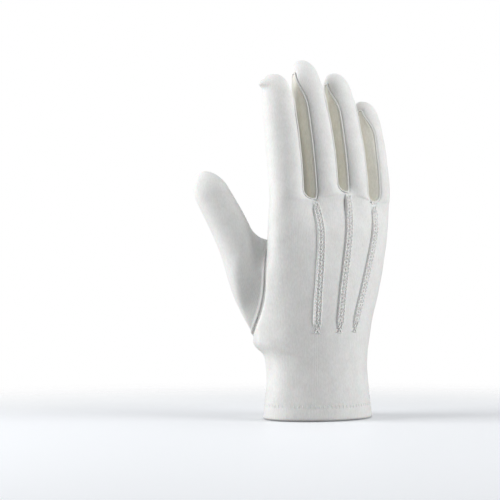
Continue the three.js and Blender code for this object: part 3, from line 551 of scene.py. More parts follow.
def buildThumb(border):
    # Rings from the border to the hole's rim, then the tube, which starts at the rim and turns round to
    # its own cross-section by the fade (1 - t)^2 (1 + 2 t), t = share / blend
    _, middleZ = holePlace(np.pi / 2)
    topAngle, _ = holePlace(0.0)
    turn = np.arctan2((border["angle"] - topAngle) / math.radians(thumb["holeHalfAngle"]),
                      (border["z"] - middleZ) / (thumb["holeLength"] / 2))
    edgeAngle, edgeZ = holePlace(turn)
    share = np.linspace(0, 1, gridFineness["holeRings"] + 1)[:, None] ** gridFineness["holePower"]
    angle, z = mix(border["angle"], edgeAngle, share), mix(border["z"], edgeZ, share)
    rings = palmPoint(angle, z)
    rings[0] = border["points"]
    uv = np.stack([border["uv"][:, 0] + (angle - border["angle"]) * hand["halfWidths"]["wrist"], z], -1)
    addGrid(rings, uv, np.zeros((len(rings) - 1, len(turn)), int), flip=True)
    root = rings[-1]
    rootShare = thumbShareBeside(root)
    shift = root - thumbTubePoint(turn, rootShare)
    length = thumb["holeLength"] + thumb["reach"]
    firstStep = strips["gap"] / ((1 - rootShare) * length)
    even = np.linspace(0, 1, gridFineness["thumbRows"]) ** gridFineness["thumbPower"] * thumb["tipStart"]
    theta = np.linspace(0, 1, gridFineness["thumbDomeRows"] + 1)[1:-1] * np.pi / 2
    dome = thumb["tipStart"] + (1 - thumb["tipStart"]) * np.sin(theta) ** (2 / thumb["tipSquare"])
    later = np.concatenate([even[2:], dome])[:, None]
    later = np.broadcast_to(later, (len(later), len(turn)))
    secondStep = firstStep + even[1] * gridFineness["thumbSecond"]
    steps = np.concatenate([firstStep[None], secondStep[None], later])
    atWeb = np.maximum(0, np.cos(turn)) ** thumb["webNarrow"]
    atFoot = np.maximum(0, -np.cos(turn)) ** 2
    faded = np.clip(steps / mix(thumb["blend"], thumb["webBlend"], atWeb), 0, 1)
    fade = (1 - faded) ** 2 * (1 + 2 * faded * (1 - atFoot))
    tube = thumbTubePoint(turn, mix(rootShare, 1, steps)) + shift * fade[..., None]
    arc = np.unwrap(turn) * thumb["halfWidth"]
    uv = np.stack(np.broadcast_arrays(arc, mix(rootShare, 1, steps) * length), -1)
    seamLabels = np.full((1, len(turn)), labelOf["seam"])
    addGrid(np.stack([root, tube[0]]), np.stack([uv[0], uv[0]]), seamLabels, flip=True)
    wrapped = np.concatenate([tube, tube[:, :1]], 1)
    wrappedUv = np.concatenate([uv, uv[:, :1] + [arc[-1] - arc[0] + arc[1] - arc[0], 0]], 1)
    addGrid(wrapped, wrappedUv, np.full((len(tube) - 1, len(turn)), labelOf["thumb"]), flip=True)
    apex, _, _ = thumbSpine(np.array(1.0))
    addTip(tube[-1], apex, uv[-1], labelOf["thumb"], flip=True)
    return (root + tube[0]) / 2, np.sin(turn)


def mergeSkin():
    # Points in the same 0.005 mm cube become one; normals are area-weighted sums of the cells'
    perMillimetre, offGrid = 200, 0.137
    points = np.concatenate(skin["points"])
    keys = np.round(points * perMillimetre + offGrid).astype(np.int64)
    _, firstAt, merged = np.unique(keys, axis=0, return_index=True, return_inverse=True)
    merged = merged.ravel()
    cells, labels = np.concatenate(skin["cells"]), np.concatenate(skin["labels"])
    keep = labels >= labelOf["seam"]
    corners, labels = cells[keep], labels[keep]
    uv = np.concatenate(skin["uv"])[corners]
    cells, points = merged[corners], points[firstAt]
    normals = np.zeros_like(points)
    cross = np.cross(points[cells[:, 2]] - points[cells[:, 0]], points[cells[:, 3]] - points[cells[:, 1]])
    for corner in range(4):
        np.add.at(normals, cells[:, corner], cross)
    normals /= np.maximum(np.linalg.norm(normals, axis=1, keepdims=True), 1e-9)
    return points, normals, cells, labels, uv


def distanceTo(points, marks):
    # Smallest |p - m| over the marks, by |p|^2 + |m|^2 - 2 p.m in blocks
    blockRows = 4096
    nearest = np.empty(len(points))
    markSquares = (marks ** 2).sum(1)
    for start in range(0, len(points), blockRows):
        block = points[start:start + blockRows]
        squares = (block ** 2).sum(1)[:, None] + markSquares - 2 * block @ marks.T
        nearest[start:start + blockRows] = np.sqrt(np.maximum(squares.min(1), 0))
    return nearest


def nearestTo(path, points):
    # For each place on the path the number of the point with the smallest |p - q|^2
    squares = (path ** 2).sum(1)[:, None] + (points ** 2).sum(1) - 2 * path @ points.T
    return squares.argmin(1)


seams = {"grooveDeep": 0.80, "grooveWide": 0.75, "rollHigh": 0.45, "rollAt": 1.05, "rollWide": 0.6,
         "stripSag": 0.7, "stripSagWide": 2.6, "thumbRoll": 0.75, "thumbRollAt": 1.5, "thumbRollWide": 0.8,
         "puckerDeep": 0.10, "puckerEvery": 2.7, "puckerWide": 1.8}
drape = {"deep": 0.08, "across": 15.0, "along": 34.0, "sway": 0.3, "swayTall": 19, "slant": 7, "second": 0.6,
         "fore": 13, "foreSlant": 41, "crossing": 11, "crossingTall": 23, "foot": 30}


def seamRelief(points, distance, label):
    # A groove, a bell of the distance, at each seam; strips and thumb add a rolled edge, a bell beside it
    lift = -seams["grooveDeep"] * bell(distance, 0, seams["grooveWide"])
    ripple = np.sin(2 * np.pi * points[:, 2] / seams["puckerEvery"])
    lift += seams["puckerDeep"] * ripple * bell(distance, 0, seams["puckerWide"])
    if label >= labelOf["strips"]:
        lift += seams["rollHigh"] * bell(distance, seams["rollAt"], seams["rollWide"])
        lift -= seams["stripSag"] * (1 - bell(distance, 0, seams["stripSagWide"]))
    if label == labelOf["thumb"]:
        lift += seams["thumbRoll"] * bell(distance, seams["thumbRollAt"], seams["thumbRollWide"])
    return lift


def drapeRelief(points):
    # Slow waves that keep the cloth from looking turned on a lathe: sines of x, y and z with unequal periods
    x, y, z = points.T
    swayed = x / drape["across"] + drape["sway"] * np.sin(z / drape["swayTall"])
    wave = np.sin(2 * np.pi * swayed) * np.sin(2 * np.pi * z / drape["along"] + x / drape["slant"])
    forward = drape["second"] * np.sin(2 * np.pi * (y / drape["fore"] + z / drape["foreSlant"]))
    wave += forward * np.cos(x / drape["crossing"] - z / drape["crossingTall"])
    return drape["deep"] * wave * ease(z / drape["foot"])


def addMesh(name, points, faceSets, uvSets=None):
    # One mesh from arrays: points in millimetres, faces as rows of vertex numbers, cloth coordinates
    # for each corner
    mesh = bpy.data.meshes.new(name)
    corners = np.concatenate([faces.ravel() for faces in faceSets])
    sizes = np.concatenate([np.full(len(faces), faces.shape[1]) for faces in faceSets])
    mesh.vertices.add(len(points))
    mesh.vertices.foreach_set("co", (points * unit).astype(np.float32).ravel())
    mesh.loops.add(len(corners))
    mesh.loops.foreach_set("vertex_index", corners.astype(np.int32))
    mesh.polygons.add(len(sizes))
    mesh.polygons.foreach_set("loop_start", np.concatenate([[0], np.cumsum(sizes)[:-1]]).astype(np.int32))
    mesh.polygons.foreach_set("use_smooth", np.ones(len(sizes), bool))
    if uvSets is not None:
        layer = mesh.uv_layers.new(name="cloth")
        flat = np.concatenate([uv.reshape(-1, 2) for uv in uvSets])
        layer.data.foreach_set("uv", flat.astype(np.float32).ravel())
    mesh.update(calc_edges=True)
    mesh.validate()
    piece = bpy.data.objects.new(name, mesh)
    bpy.context.scene.collection.objects.link(piece)
    return piece


def splitDegenerate(cells, uv):
    # Cells with two equal corners become triangles
    same = [cells[:, k] == cells[:, (k + 1) % 4] for k in range(4)]
    faceSets, uvSets = [cells[~np.any(same, 0)]], [uv[~np.any(same, 0)]]
    for k in range(4):
        order = [i for i in range(4) if i != (k + 1) % 4]
        chosen = same[k]
        if chosen.any():
            faceSets.append(cells[chosen][:, order])
            uvSets.append(uv[chosen][:, order])
    return faceSets, uvSets


def clothPiece(name, points, cells, uv, thickness):
    # The cells as a mesh whose wall is laid inward by a solidify modifier
    used, compact = np.unique(cells, return_inverse=True)
    faceSets, uvSets = splitDegenerate(compact.reshape(cells.shape), uv)
    piece = addMesh(name, points[used], faceSets, uvSets)
    wallModifier = piece.modifiers.new("wall", "SOLIDIFY")
    wallModifier.thickness = thickness * unit
    wallModifier.offset = -1
    return piece


def finishPiece(piece, slot, material, *nodes):
    piece.data.materials.append(material)
    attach(piece, "root")
    if nodes:
        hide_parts(*nodes)
    return piece


def setInputs(node, values):
    for name, value in values.items():
        node.inputs[name].default_value = value


def nodeSet(owner):
    # The nodes and links of a material or world that uses them
    owner.use_nodes = True
    return owner.node_tree.nodes, owner.node_tree.links


weave = {"sheenRoughness": 0.45, "scatter": 1.6, "specular": 0.25,
         "waleHigh": 0.6, "loopHigh": 0.3, "loopLean": 1.4,
         "fuzzHigh": 2.8, "fuzzDetail": 3, "cloudDetail": 4, "bumpDeep": 0.12,
         "waleShade": 0.04, "fuzzShade": 0.9, "cloudShade": 0.6, "shadeFrom": 0.45, "shadeTo": 1.05}


def knitMaterial(name, settings):
    # Jersey on cloth coordinates in millimetres: wales cos(2 pi u / wale) and loops
    # sin(2 pi (v / course + lean |u|)), |u| the distance to the next valley between wales; fuzz lifts the
    # surface and shades it with the clouds
    material = bpy.data.materials.new(name)
    nodes, links = nodeSet(material)
    shader = nodes["Principled BSDF"]
    setInputs(shader, {
        "Roughness": settings["roughness"], "Specular IOR Level": weave["specular"],
        "Sheen Weight": settings["sheen"], "Sheen Roughness": weave["sheenRoughness"],
        "Subsurface Weight": settings["depth"], "Subsurface Scale": weave["scatter"] * unit,
    })

    def compute(operation, a, b=None, c=None):
        node = nodes.new("ShaderNodeMath")
        node.operation = operation
        for socket, value in zip(node.inputs, (a, b, c)):
            if isinstance(value, (int, float)):
                socket.default_value = value
            elif value is not None:
                links.new(value, socket)
        return node.outputs[0]

    def noise(size, detail, vector):
        node = nodes.new("ShaderNodeTexNoise")
        setInputs(node, {"Scale": 1 / (size * unit), "Detail": detail})
        links.new(vector, node.inputs["Vector"])
        return node.outputs["Fac"]

    uvNode = nodes.new("ShaderNodeUVMap")
    uvNode.uv_map = "cloth"
    split = nodes.new("ShaderNodeSeparateXYZ")
    links.new(uvNode.outputs["UV"], split.inputs[0])
    u = compute("DIVIDE", split.outputs[0], settings["wale"])
    v = compute("DIVIDE", split.outputs[1], settings["course"])
    wale = compute("COSINE", compute("MULTIPLY", u, 2 * math.pi))
    slant = compute("PINGPONG", compute("ADD", u, 0.5), 0.5)
    leaning = compute("ADD", v, compute("MULTIPLY", slant, weave["loopLean"]))
    loop = compute("SINE", compute("MULTIPLY", leaning, 2 * math.pi))
    knit = compute("MULTIPLY_ADD", loop, weave["loopHigh"], compute("MULTIPLY", wale, weave["waleHigh"]))
    place = nodes.new("ShaderNodeTexCoord").outputs["Object"]
    stretched = nodes.new("ShaderNodeMapping")
    setInputs(stretched, {"Scale": (1, 1, settings["fuzzStretch"])})
    links.new(place, stretched.inputs["Vector"])
    fuzz = noise(settings["fuzz"], weave["fuzzDetail"], stretched.outputs["Vector"])
    cloud = noise(settings["cloud"], weave["cloudDetail"], place)
    bump = nodes.new("ShaderNodeBump")
    setInputs(bump, {"Strength": settings["bump"], "Distance": weave["bumpDeep"] * unit})
    links.new(compute("MULTIPLY_ADD", fuzz, weave["fuzzHigh"], knit), bump.inputs["Height"])
    links.new(bump.outputs["Normal"], shader.inputs["Normal"])
    shade = compute("MULTIPLY_ADD", fuzz, weave["fuzzShade"], compute("MULTIPLY", cloud, weave["cloudShade"]))
    shade = compute("MULTIPLY_ADD", wale, weave["waleShade"], shade)
    ramp = nodes.new("ShaderNodeValToRGB")
    ends = zip(ramp.color_ramp.elements, ("shadeFrom", "shadeTo"), ("dark", "light"))
    for element, position, color in ends:
        element.position = weave[position]
        element.color = (*settings[color], 1)
    links.new(shade, ramp.inputs["Fac"])
    links.new(ramp.outputs["Color"], shader.inputs["Base Color"])
    return material


knits = {
    "main": {"dark": (0.76, 0.76, 0.745), "light": (0.88, 0.88, 0.87),
             "roughness": 0.92, "sheen": 0.35, "depth": 0.12,
             "wale": 1.0, "course": 0.9, "fuzz": 0.8, "fuzzStretch": 0.35, "cloud": 9, "bump": 0.24},
    # The strip look is the main cloth tinted yellowish beige: painted shade, warmed like light bounced
    # between the fingers, not a different cloth
    "strip": {"dark": (0.78, 0.765, 0.69), "light": (0.90, 0.885, 0.82),
              "roughness": 0.92, "sheen": 0.25, "depth": 0.10,
              "wale": 1.0, "course": 0.9, "fuzz": 0.8, "fuzzStretch": 0.35, "cloud": 7, "bump": 0.24},
    "point": {"dark": (0.78, 0.78, 0.765), "light": (0.90, 0.90, 0.89),
              "roughness": 0.9, "sheen": 0.3, "depth": 0.10,
              "wale": 0.9, "course": 0.7, "fuzz": 0.6, "fuzzStretch": 0.5, "cloud": 5, "bump": 0.3},
    "thread": {"dark": (0.80, 0.80, 0.78), "light": (0.92, 0.92, 0.91),
               "roughness": 0.7, "sheen": 0.2, "depth": 0.0,
               "wale": 0.25, "course": 0.35, "fuzz": 0.3, "fuzzStretch": 1.0, "cloud": 3, "bump": 0.2},
}
materials = {name: knitMaterial("knit_" + name, settings) for name, settings in knits.items()}

bases = buildFingers()
ring, palmPoints, palmZ, holeBorder = buildPalm(bases)
thumbRim, rimSide = buildThumb(holeBorder)
skinPoints, skinNormals, skinCells, skinLabels, skinUv = mergeSkin()
print("skin:", len(skinPoints), "points,", len(skinCells), "cells")

# On the back of the hand the set-in seam of the thumb lies on a soft ridge, not in a valley
thumbRidge = {"high": 4.5, "wide": 9, "from": 50, "fromFade": 12, "to": 112, "toFade": 16, "side": 0.1,
              "toward": [-0.6, -0.8, 0]}


def thumbRidgeLift(at, rim):
    # high * exp(-(d / wide)^2) towards the back, d from the rim's back half, eased in and out with height
    away = distanceTo(at, rim)
    rise = ease((at[:, 2] - thumbRidge["from"]) / thumbRidge["fromFade"])
    rise = rise * ease((thumbRidge["to"] - at[:, 2]) / thumbRidge["toFade"])
    lift = thumbRidge["high"] * rise * bell(away, 0, thumbRidge["wide"])
    return np.array(thumbRidge["toward"]) * lift[:, None]


backRim = thumbRim[rimSide > thumbRidge["side"]]
skinPoints = skinPoints + thumbRidgeLift(skinPoints, backRim)
thumbRim = thumbRim + thumbRidgeLift(thumbRim, backRim)

seamPoints = skinPoints[np.unique(skinCells[skinLabels == labelOf["seam"]])]
seamDistance = distanceTo(skinPoints, seamPoints)


# The shallow groove that the hem stitches pull, and the lowest edge, which turns inward
hemLine = {"rise": 8.6, "deep": 0.14, "wide": 1.8, "turnFrom": 1.0, "turnDeep": 0.4}


def dressedPoints(label):
    # skin + normal * (seams + drape - hem groove - hem turn^2)
    z = skinPoints[:, 2]
    lift = seamRelief(skinPoints, seamDistance, label) + drapeRelief(skinPoints)
    lift -= hemLine["deep"] * bell(z, hemLine["rise"], hemLine["wide"])
    lift -= hemLine["turnDeep"] * np.clip(1 - z / hemLine["turnFrom"], 0, 1) ** 2
    return skinPoints + skinNormals * lift[:, None]


clothRows = [("trank_knit", "trank", labelOf["trank"], "main", "white_knit"),
             ("thumb_knit", "thumb", labelOf["thumb"], "main", "white_knit")]
# The fourchette strips use the strip look, whose beige tint is painted shade for the channels between the
# fingers
clothRows += [("fourchette_knit_" + name, "fourchette_" + name, labelOf["strips"] + c, "strip", "strip_knit")
              for c, name in enumerate(crotches["names"])]
for name, node, label, look, slot in clothRows:
    chosen = skinLabels == label
    piece = clothPiece(name, dressedPoints(label), skinCells[chosen], skinUv[chosen], hand["wall"])
    finishPiece(piece, slot, materials[look], node)
print("cloth pieces made")

seamRope = {"strip": 0.52, "thumb": 0.48, "every": 0.55, "twist": 1.7, "twistShare": 0.10, "sides": 8}


def closedRope(name, loop, radius):
    # A closed tube round the loop, radius = r (1 + share sin(2 pi s / twist + phi))
    loop = np.concatenate([loop, loop[:1]])
    arc = arcOf(loop)
    at = np.linspace(0, arc[-1], round(arc[-1] / seamRope["every"]), endpoint=False)
    path = np.stack([np.interp(at, arc, column) for column in loop.T], -1)
    outward = skinNormals[nearestTo(path, skinPoints)]
    path = path + outward * drapeRelief(path)[:, None]
    for _ in range(3):
        path = (np.roll(path, 1, 0) + 2 * path + np.roll(path, -1, 0)) / 4
        outward = (np.roll(outward, 1, 0) + 2 * outward + np.roll(outward, -1, 0)) / 4
    along = unitRows(np.roll(path, -1, 0) - np.roll(path, 1, 0))
    side = unitRows(np.cross(along, outward))
    out = np.cross(side, along)
    phi = np.linspace(0, 2 * np.pi, seamRope["sides"], endpoint=False)
    twist = np.sin(2 * np.pi * at[:, None] / seamRope["twist"] + phi)
    thick = radius * (1 + seamRope["twistShare"] * twist)[..., None]
    spoke = side[:, None] * np.cos(phi)[:, None] + out[:, None] * np.sin(phi)[:, None]
    grid = path[:, None] + thick * spoke
    ids = np.arange(grid[..., 0].size).reshape(grid.shape[:2])
    right = np.roll(ids, -1, 1)
    cells = np.stack([ids, right, np.roll(right, -1, 0), np.roll(ids, -1, 0)], -1).reshape(-1, 4)
    uv = np.stack(np.broadcast_arrays(phi[None] * radius, at[:, None]), -1).reshape(-1, 2)
    piece = addMesh(name, grid.reshape(-1, 3), [cells], [uv[cells]])
    finishPiece(piece, "white_knit", materials["thread"])


def stripBorder(c):
    # Up the back edge of finger c's strip, over its top and down its palm edge, and the same round the
    # next finger's strip
    loops = []
    for base, kind in ((bases[c], 1), (bases[c + 1], 3)):
        columns = np.flatnonzero(base["kind"] == kind)
        top = int(np.argmin(np.abs(base["rows"] - strips["end"])))
        grid = base["grid"]
        loops += [grid[:top, columns[0]], grid[top, columns], grid[top - 1::-1, columns[-1]]]
    return np.concatenate([*loops[:3], *[loops[3][1:], loops[4], loops[5][:-1]]])


for c, crotchName in enumerate(crotches["names"]):
    closedRope("seam_" + crotchName, stripBorder(c), seamRope["strip"])
closedRope("seam_thumb", thumbRim, seamRope["thumb"])
print("seams made")

# Each point is a flat tuck of three ridges; foot is a share of palmLength
tuck = {"names": ["point_index", "point_middle", "point_ring"], "width": 6.4, "high": 1.35, "valley": 0.42,
        "belowCrotch": 1.0, "foot": 0.40, "sunk": 0.45, "samples": 31,
        "taper": 6.0, "endHigh": 0.12, "endWide": 0.8,
        "edge": 0.09, "edgePower": 0.6, "step": 0.4, "braid": 2.4, "sway": 0.03, "puff": 0.16,
        "wobble": 0.10, "wobbleAlong": 2.1, "wobbleAcross": 9, "smoothing": 12, "underside": 1.2}


def smoothed(rows, times):
    # Each row becomes a quarter, a half and a quarter of its neighbours and itself, the ends kept
    for _ in range(times):
        rows = np.concatenate([rows[:1], (rows[:-2] + 2 * rows[1:-1] + rows[2:]) / 4, rows[-1:]])
    return rows


def surfaceFrame(path):
    # Outward = smoothed surface normal at the path, aside = gradient of the path x outward
    outward = unitRows(smoothed(skinNormals[nearestTo(path, skinPoints)], tuck["smoothing"]))
    return unitRows(np.cross(unitRows(np.gradient(path, axis=0)), outward)), outward


def pointPath(i):
    # Down the palm's column under a crotch, at equal steps, moved with the drape
    column = ring["isFirstOf"][(i + 1, 0)]
    z = palmZ[:, column]
    chosen = (z <= z[0] - tuck["belowCrotch"]) & (z >= tuck["foot"] * hand["palmLength"])
    path = palmPoints[chosen, column]
    arc = arcOf(path)
    path = np.stack([through(arc, column, np.arange(0, arc[-1], tuck["step"])) for column in path.T], -1)
    return path + skinNormals[nearestTo(path, skinPoints)] * drapeRelief(path)[:, None]


def ridges(across, turn):
    # Three ridges cos^2(3 pi (a + sway sin t)) over a valley, a in -0.5..0.5, puffed by cos(t + 3 pi a)
    swayed = across + tuck["sway"] * np.sin(turn)
    rise = mix(tuck["valley"], 1, np.cos(3 * np.pi * swayed) ** 2)
    return rise * (1 + tuck["puff"] * np.cos(turn + 3 * np.pi * across))


def buildPoint(i):
    # The ridged profile carried down the path, tapering at both ends and closed underneath
    path = pointPath(i)
    aside, outward = surfaceFrame(path)
    t = np.linspace(0, 1, len(path))
    taper = ease(np.minimum(t, 1 - t) * arcOf(path)[-1] / tuck["taper"])[:, None]
    across = np.linspace(-0.5, 0.5, tuck["samples"])[None]
    edge = np.clip((0.5 - np.abs(across)) / tuck["edge"], 0, 1)
    turn = 2 * np.pi * np.arange(len(path))[:, None] * tuck["step"] / tuck["braid"]
    rise = tuck["high"] * ridges(across, turn) * edge ** tuck["edgePower"] * mix(tuck["endHigh"], 1, taper)
    wobble = np.sin(path[:, 2:3] * tuck["wobbleAlong"]) * np.sin(across * tuck["wobbleAcross"])
    rise += tuck["wobble"] * wobble * edge - tuck["sunk"] * (1 - edge)
    spread = aside[:, None] * (across * tuck["width"] * mix(tuck["endWide"], 1, taper))[..., None]
    top = path[:, None] + spread + outward[:, None] * rise[..., None]
    below = path[:, None] + spread[:, ::-1] - outward[:, None] * tuck["sunk"]
    grid = np.concatenate([top, below[:, 1:-1]], 1)
    rows, columns = grid.shape[:2]
    ids = np.arange(rows * columns).reshape(rows, columns)
    distance = np.concatenate([across[0], across[0, ::-1][1:-1] + tuck["underside"]]) * tuck["width"]
    uv = np.stack(np.broadcast_arrays(distance[None], grid[..., 2]), -1).reshape(-1, 2)
    half = columns // 2 + 1
    caps = [np.array([[row[k], row[(columns - k) % columns], row[(columns - k - 1) % columns], row[k + 1]]
                      for k in range(1, half - 2)]) for row in (ids[0], ids[-1])]
    starts = [np.array([[row[0], row[columns - 1], row[1]]]) for row in (ids[0], ids[-1])]
    ends = [np.array([[row[half - 2], row[half], row[half - 1]]]) for row in (ids[0], ids[-1])]
    caps[0], starts[0], ends[0] = caps[0][:, ::-1], starts[0][:, ::-1], ends[0][:, ::-1]
    faceSets = [ringCells(ids), *caps, *starts, *ends]
    name = tuck["names"][i]
    piece = addMesh("tuck_" + name, grid.reshape(-1, 3), faceSets, [uv[faces] for faces in faceSets])
    finishPiece(piece, "point_stitching", materials["point"], name)
    return path, aside, outward


pointFrames = [buildPoint(i) for i in range(3)]
print("points made")

hemBand = {"cloth": 1.2, "inside": 1.6}


def buildHem():
    # The turned-up band: the lowest palm rows, moved inward by the outer wall and a small gap
    low = palmZ[:, 0] <= hand["hemHeight"] + tiny
    outer = palmPoints[low]
    flat = outer.reshape(-1, 3)
    normals = skinNormals[nearestTo(flat, skinPoints)]
    inner = (flat - normals * hemBand["inside"]).reshape(outer.shape)
    arc = ring["wrist"] * hand["halfWidths"]["wrist"]
    uv = np.stack(np.broadcast_arrays(arc[None], outer[..., 2]), -1)
    ids = np.arange(inner[..., 0].size).reshape(inner.shape[:2])
    cells = np.roll(ringCells(ids), -1, axis=1)
    piece = clothPiece("hem_band", inner.reshape(-1, 3), cells, uv.reshape(-1, 2)[cells], hemBand["cloth"])
    finishPiece(piece, "white_knit", materials["main"], "cuff_hem")


buildHem()

stitch = {"long": 2.9, "every": 2.4, "radius": 0.34, "lean": 0.5, "proud": 0.22,
          "hemLong": 2.5, "hemEvery": 2.9, "hemRadius": 0.32, "hemSunk": 0.18,
          "tackLong": 6.4, "tackLean": 0.62, "tackWide": 5.6, "tackProud": [0.38, 0.60, 0.25],
          "tackBar": 0.38, "tackSteps": 8, "rings": 5, "sides": 6, "blunt": 0.6, "clothTurns": 4}


def stitchMesh(name, places, along, outward, long, radius):
    # Each stitch is a spindle: x = long/2 cos(t), radius = r sin(t)^blunt, copied to every place as arrays
    half = np.broadcast_to(long, len(places))[:, None, None] / 2
    t = np.linspace(0, np.pi, stitch["rings"] + 2)[1:-1]
    phi = np.linspace(0, 2 * np.pi, stitch["sides"], endpoint=False)
    x = np.concatenate([[1], np.repeat(np.cos(t), len(phi)), [-1]])
    around = np.repeat(np.sin(t) ** stitch["blunt"], len(phi))
    y = np.concatenate([[0], around * np.tile(np.cos(phi), len(t)), [0]]) * radius
    z = np.concatenate([[0], around * np.tile(np.sin(phi), len(t)), [0]]) * radius
    side = np.cross(along, outward)
    grid = places[:, None] + along[:, None] * x[None, :, None] * half
    grid += outward[:, None] * y[None, :, None] + side[:, None] * z[None, :, None]
    n, count = len(phi), len(x)
    ids = 1 + np.arange(len(t) * n).reshape(len(t), n)
    right = np.roll(ids, -1, 1)
    tips = np.concatenate([np.stack([np.zeros(n, int), ids[0], right[0]], -1),
                           np.stack([np.full(n, count - 1), right[-1], ids[-1]], -1)])
    offsets = (np.arange(len(places)) * count)[:, None, None]
    faceSets = [(ringCells(ids)[None] + offsets).reshape(-1, 4), (tips[None] + offsets).reshape(-1, 3)]
    uv = np.stack([np.tile(y * stitch["clothTurns"], len(places)), np.tile(x, len(places))], -1)
    piece = addMesh(name, grid.reshape(-1, 3), faceSets, [uv[faces] for faces in faceSets])
    return finishPiece(piece, "point_stitching", materials["thread"])


def alongPath(path, values, every, start=0.0):
    # Values of a path's frame at equal arc lengths
    arc = arcOf(path)
    at = np.arange(start + every / 2, arc[-1] - every / 2, every)
    return [np.stack([np.interp(at, arc, column) for column in value.T], -1) for value in values]


def buildPointStitches():
    # A zigzag in each of the two valleys between three ridges: every second stitch leans the other way
    places, directions, normals = [], [], []
    for path, aside, outward in pointFrames:
        along = np.gradient(path, axis=0)
        for groove in (-1 / 6, 1 / 6):
            values = [path, aside, outward, along]
            at, right, out, forward = alongPath(path, values, stitch["every"], groove + 1)
            lean = stitch["lean"] * np.where(np.arange(len(at)) % 2 == 0, 1, -1)[:, None]
            high = tuck["high"] * tuck["valley"] + stitch["proud"]
            places.append(at + right * groove * tuck["width"] + out * high)
            directions.append(unitRows(unitRows(forward) + right * lean))
            normals.append(unitRows(out))
    addStitches("stitches_points", places, directions, normals, stitch["long"])


def addStitches(name, places, directions, normals, long):
    # Turns each normal square to its stitch, n - d (n . d), and adds all stitches as one piece
    normal, direction = np.concatenate(normals), np.concatenate(directions)
    normal = unitRows(normal - direction * (normal * direction).sum(1, keepdims=True))
    stitchMesh(name, np.concatenate(places), direction, normal, long, stitch["radius"])


def buildTacks():
    # At the foot of each point two stitches cross, and a third closes them below as a small triangle
    places, directions, normals = [], [], []
    for path, aside, outward in pointFrames:
        foot, right, out = path[-1], aside[-1], outward[-1]
        up = unitRows(path[-1 - stitch["tackSteps"]] - foot)
        lean = stitch["tackLean"]
        bar = foot - up * stitch["tackLong"] * stitch["tackBar"]
        places.append(np.array([foot, foot, bar]) + np.outer(stitch["tackProud"], out))
        directions.append(unitRows(np.array([up + right * lean, up - right * lean, right])))
        normals.append(np.array([out, out, out]))
    long = np.tile([stitch["tackLong"], stitch["tackLong"], stitch["tackWide"]], len(pointFrames))
    addStitches("tacks_points", places, directions, normals, long)


buildPointStitches()
buildTacks()


def buildHemStitches():
    # Short upright stitches round the cuff, set a little into the hem's groove
    row = int(np.argmin(np.abs(palmZ[:, 0] - hemLine["rise"])))
    loop = np.concatenate([palmPoints[row], palmPoints[row, :1]])
    normals = skinNormals[nearestTo(loop, skinPoints)]
    sunk = loop + normals * (drapeRelief(loop)[:, None] - stitch["hemSunk"])
    at, out = alongPath(loop, [sunk, normals], stitch["hemEvery"])
    out = unitRows(out * [1, 1, 0])
    upright = np.repeat(np.array([[0.0, 0.0, 1.0]]), len(at), 0)
    stitchMesh("stitches_hem", at, upright, out, stitch["hemLong"], stitch["hemRadius"])


buildHemStitches()
print("stitches made")

view = {"azimuth": -33, "distance": 1300, "aside": -45.1, "height": 112.3, "frameWidth": 336.5,
        "clipNear": 0.05, "clipFar": 20}
azimuth = math.radians(view["azimuth"])
toCamera = np.array([math.sin(azimuth), -math.cos(azimuth), 0.0])
toRight = np.array([math.cos(azimuth), math.sin(azimuth), 0.0])
upward = np.array([0.0, 0.0, 1.0])
target = toRight * view["aside"] + upward * view["height"]


def aimed(thing, place, at):
    thing.location = Vector(place * unit)
    thing.rotation_euler = Vector((at - place)).to_track_quat("-Z", "Y").to_euler()
    bpy.context.scene.collection.objects.link(thing)


def buildCamera():
    data = bpy.data.cameras.new("camera")
    data.angle = 2 * math.atan(view["frameWidth"] / 2 / view["distance"])
    data.clip_start, data.clip_end = view["clipNear"], view["clipFar"]
    camera = bpy.data.objects.new("camera", data)
    aimed(camera, target + toCamera * view["distance"], target)
    bpy.context.scene.camera = camera


lights = {
    "left": {"right": -900, "front": 200, "up": 260, "width": 600, "height": 900, "power": 10.0},
    "right": {"right": 950, "front": 330, "up": 260, "width": 700, "height": 900, "power": 8.6},
    "top": {"right": 0, "front": -100, "up": 1100, "width": 700, "height": 700, "power": 3.0},
}


def buildLights():
    for name, row in lights.items():
        data = bpy.data.lights.new("light_" + name, "AREA")
        data.shape, data.size, data.size_y = "RECTANGLE", row["width"] * unit, row["height"] * unit
        data.energy = row["power"]
        light = bpy.data.objects.new("light_" + name, data)
        middle = upward * view["height"]
        aimed(light, middle + toRight * row["right"] + toCamera * row["front"] + upward * row["up"], middle)


room = {"seen": 1.0, "seenColor": (1, 1, 1, 1), "ambient": 0.27, "ambientColor": (0.98, 0.99, 1, 1),
        "floorRadius": 900, "floorSides": 96, "fadeFrom": 300, "fadeTo": 620, "fadeAhead": 250,
        "floorColor": (0.90, 0.92, 0.95, 1), "floorRough": 0.6, "floorGlow": 0.05, "belowHem": 0.8}


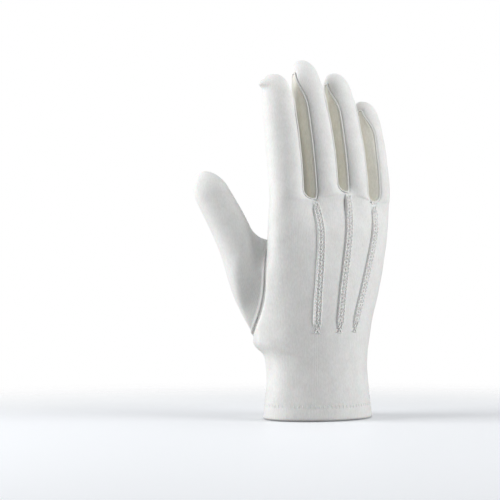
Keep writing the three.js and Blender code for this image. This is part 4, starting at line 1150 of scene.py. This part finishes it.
def buildWorld():
    # White behind the glove for the camera, dimmer light from all round for the cloth
    world = bpy.data.worlds.new("studio")
    bpy.context.scene.world = world
    nodes, links = nodeSet(world)
    ambient = nodes["Background"]
    setInputs(ambient, {"Color": room["ambientColor"], "Strength": room["ambient"]})
    seen = nodes.new("ShaderNodeBackground")
    setInputs(seen, {"Color": room["seenColor"], "Strength": room["seen"]})
    rays = nodes.new("ShaderNodeLightPath")
    mixer = nodes.new("ShaderNodeMixShader")
    links.new(rays.outputs["Is Camera Ray"], mixer.inputs[0])
    links.new(ambient.outputs[0], mixer.inputs[1])
    links.new(seen.outputs[0], mixer.inputs[2])
    links.new(mixer.outputs[0], nodes["World Output"].inputs["Surface"])


def buildFloor():
    # A round floor under the hem that fades into the background with distance from a place before the glove
    turn = np.linspace(0, 2 * np.pi, room["floorSides"], endpoint=False)
    rim = np.stack([np.cos(turn), np.sin(turn), np.zeros(len(turn))], -1) * room["floorRadius"]
    floor = addMesh("floor", rim - upward * room["belowHem"], [np.arange(len(turn))[None]])
    material = bpy.data.materials.new("pale_floor")
    nodes, links = nodeSet(material)
    shader = nodes["Principled BSDF"]
    setInputs(shader, {"Base Color": room["floorColor"], "Roughness": room["floorRough"],
                       "Emission Color": room["floorColor"], "Emission Strength": room["floorGlow"]})
    length = nodes.new("ShaderNodeVectorMath")
    length.operation = "LENGTH"
    moved = nodes.new("ShaderNodeMapping")
    setInputs(moved, {"Location": -room["fadeAhead"] * unit * toCamera})
    links.new(nodes.new("ShaderNodeTexCoord").outputs["Object"], moved.inputs["Vector"])
    links.new(moved.outputs["Vector"], length.inputs[0])
    fade = nodes.new("ShaderNodeMapRange")
    fade.interpolation_type = "SMOOTHSTEP"
    setInputs(fade, {"From Min": room["fadeFrom"] * unit, "From Max": room["fadeTo"] * unit,
                     "To Min": 1, "To Max": 0})
    links.new(length.outputs["Value"], fade.inputs["Value"])
    links.new(fade.outputs["Result"], shader.inputs["Alpha"])
    floor.data.materials.append(material)
    floor.visible_diffuse = False


buildCamera()
buildLights()
buildWorld()
buildFloor()
bpy.context.scene.view_settings.view_transform = "Standard"
print("camera, lights and floor made")
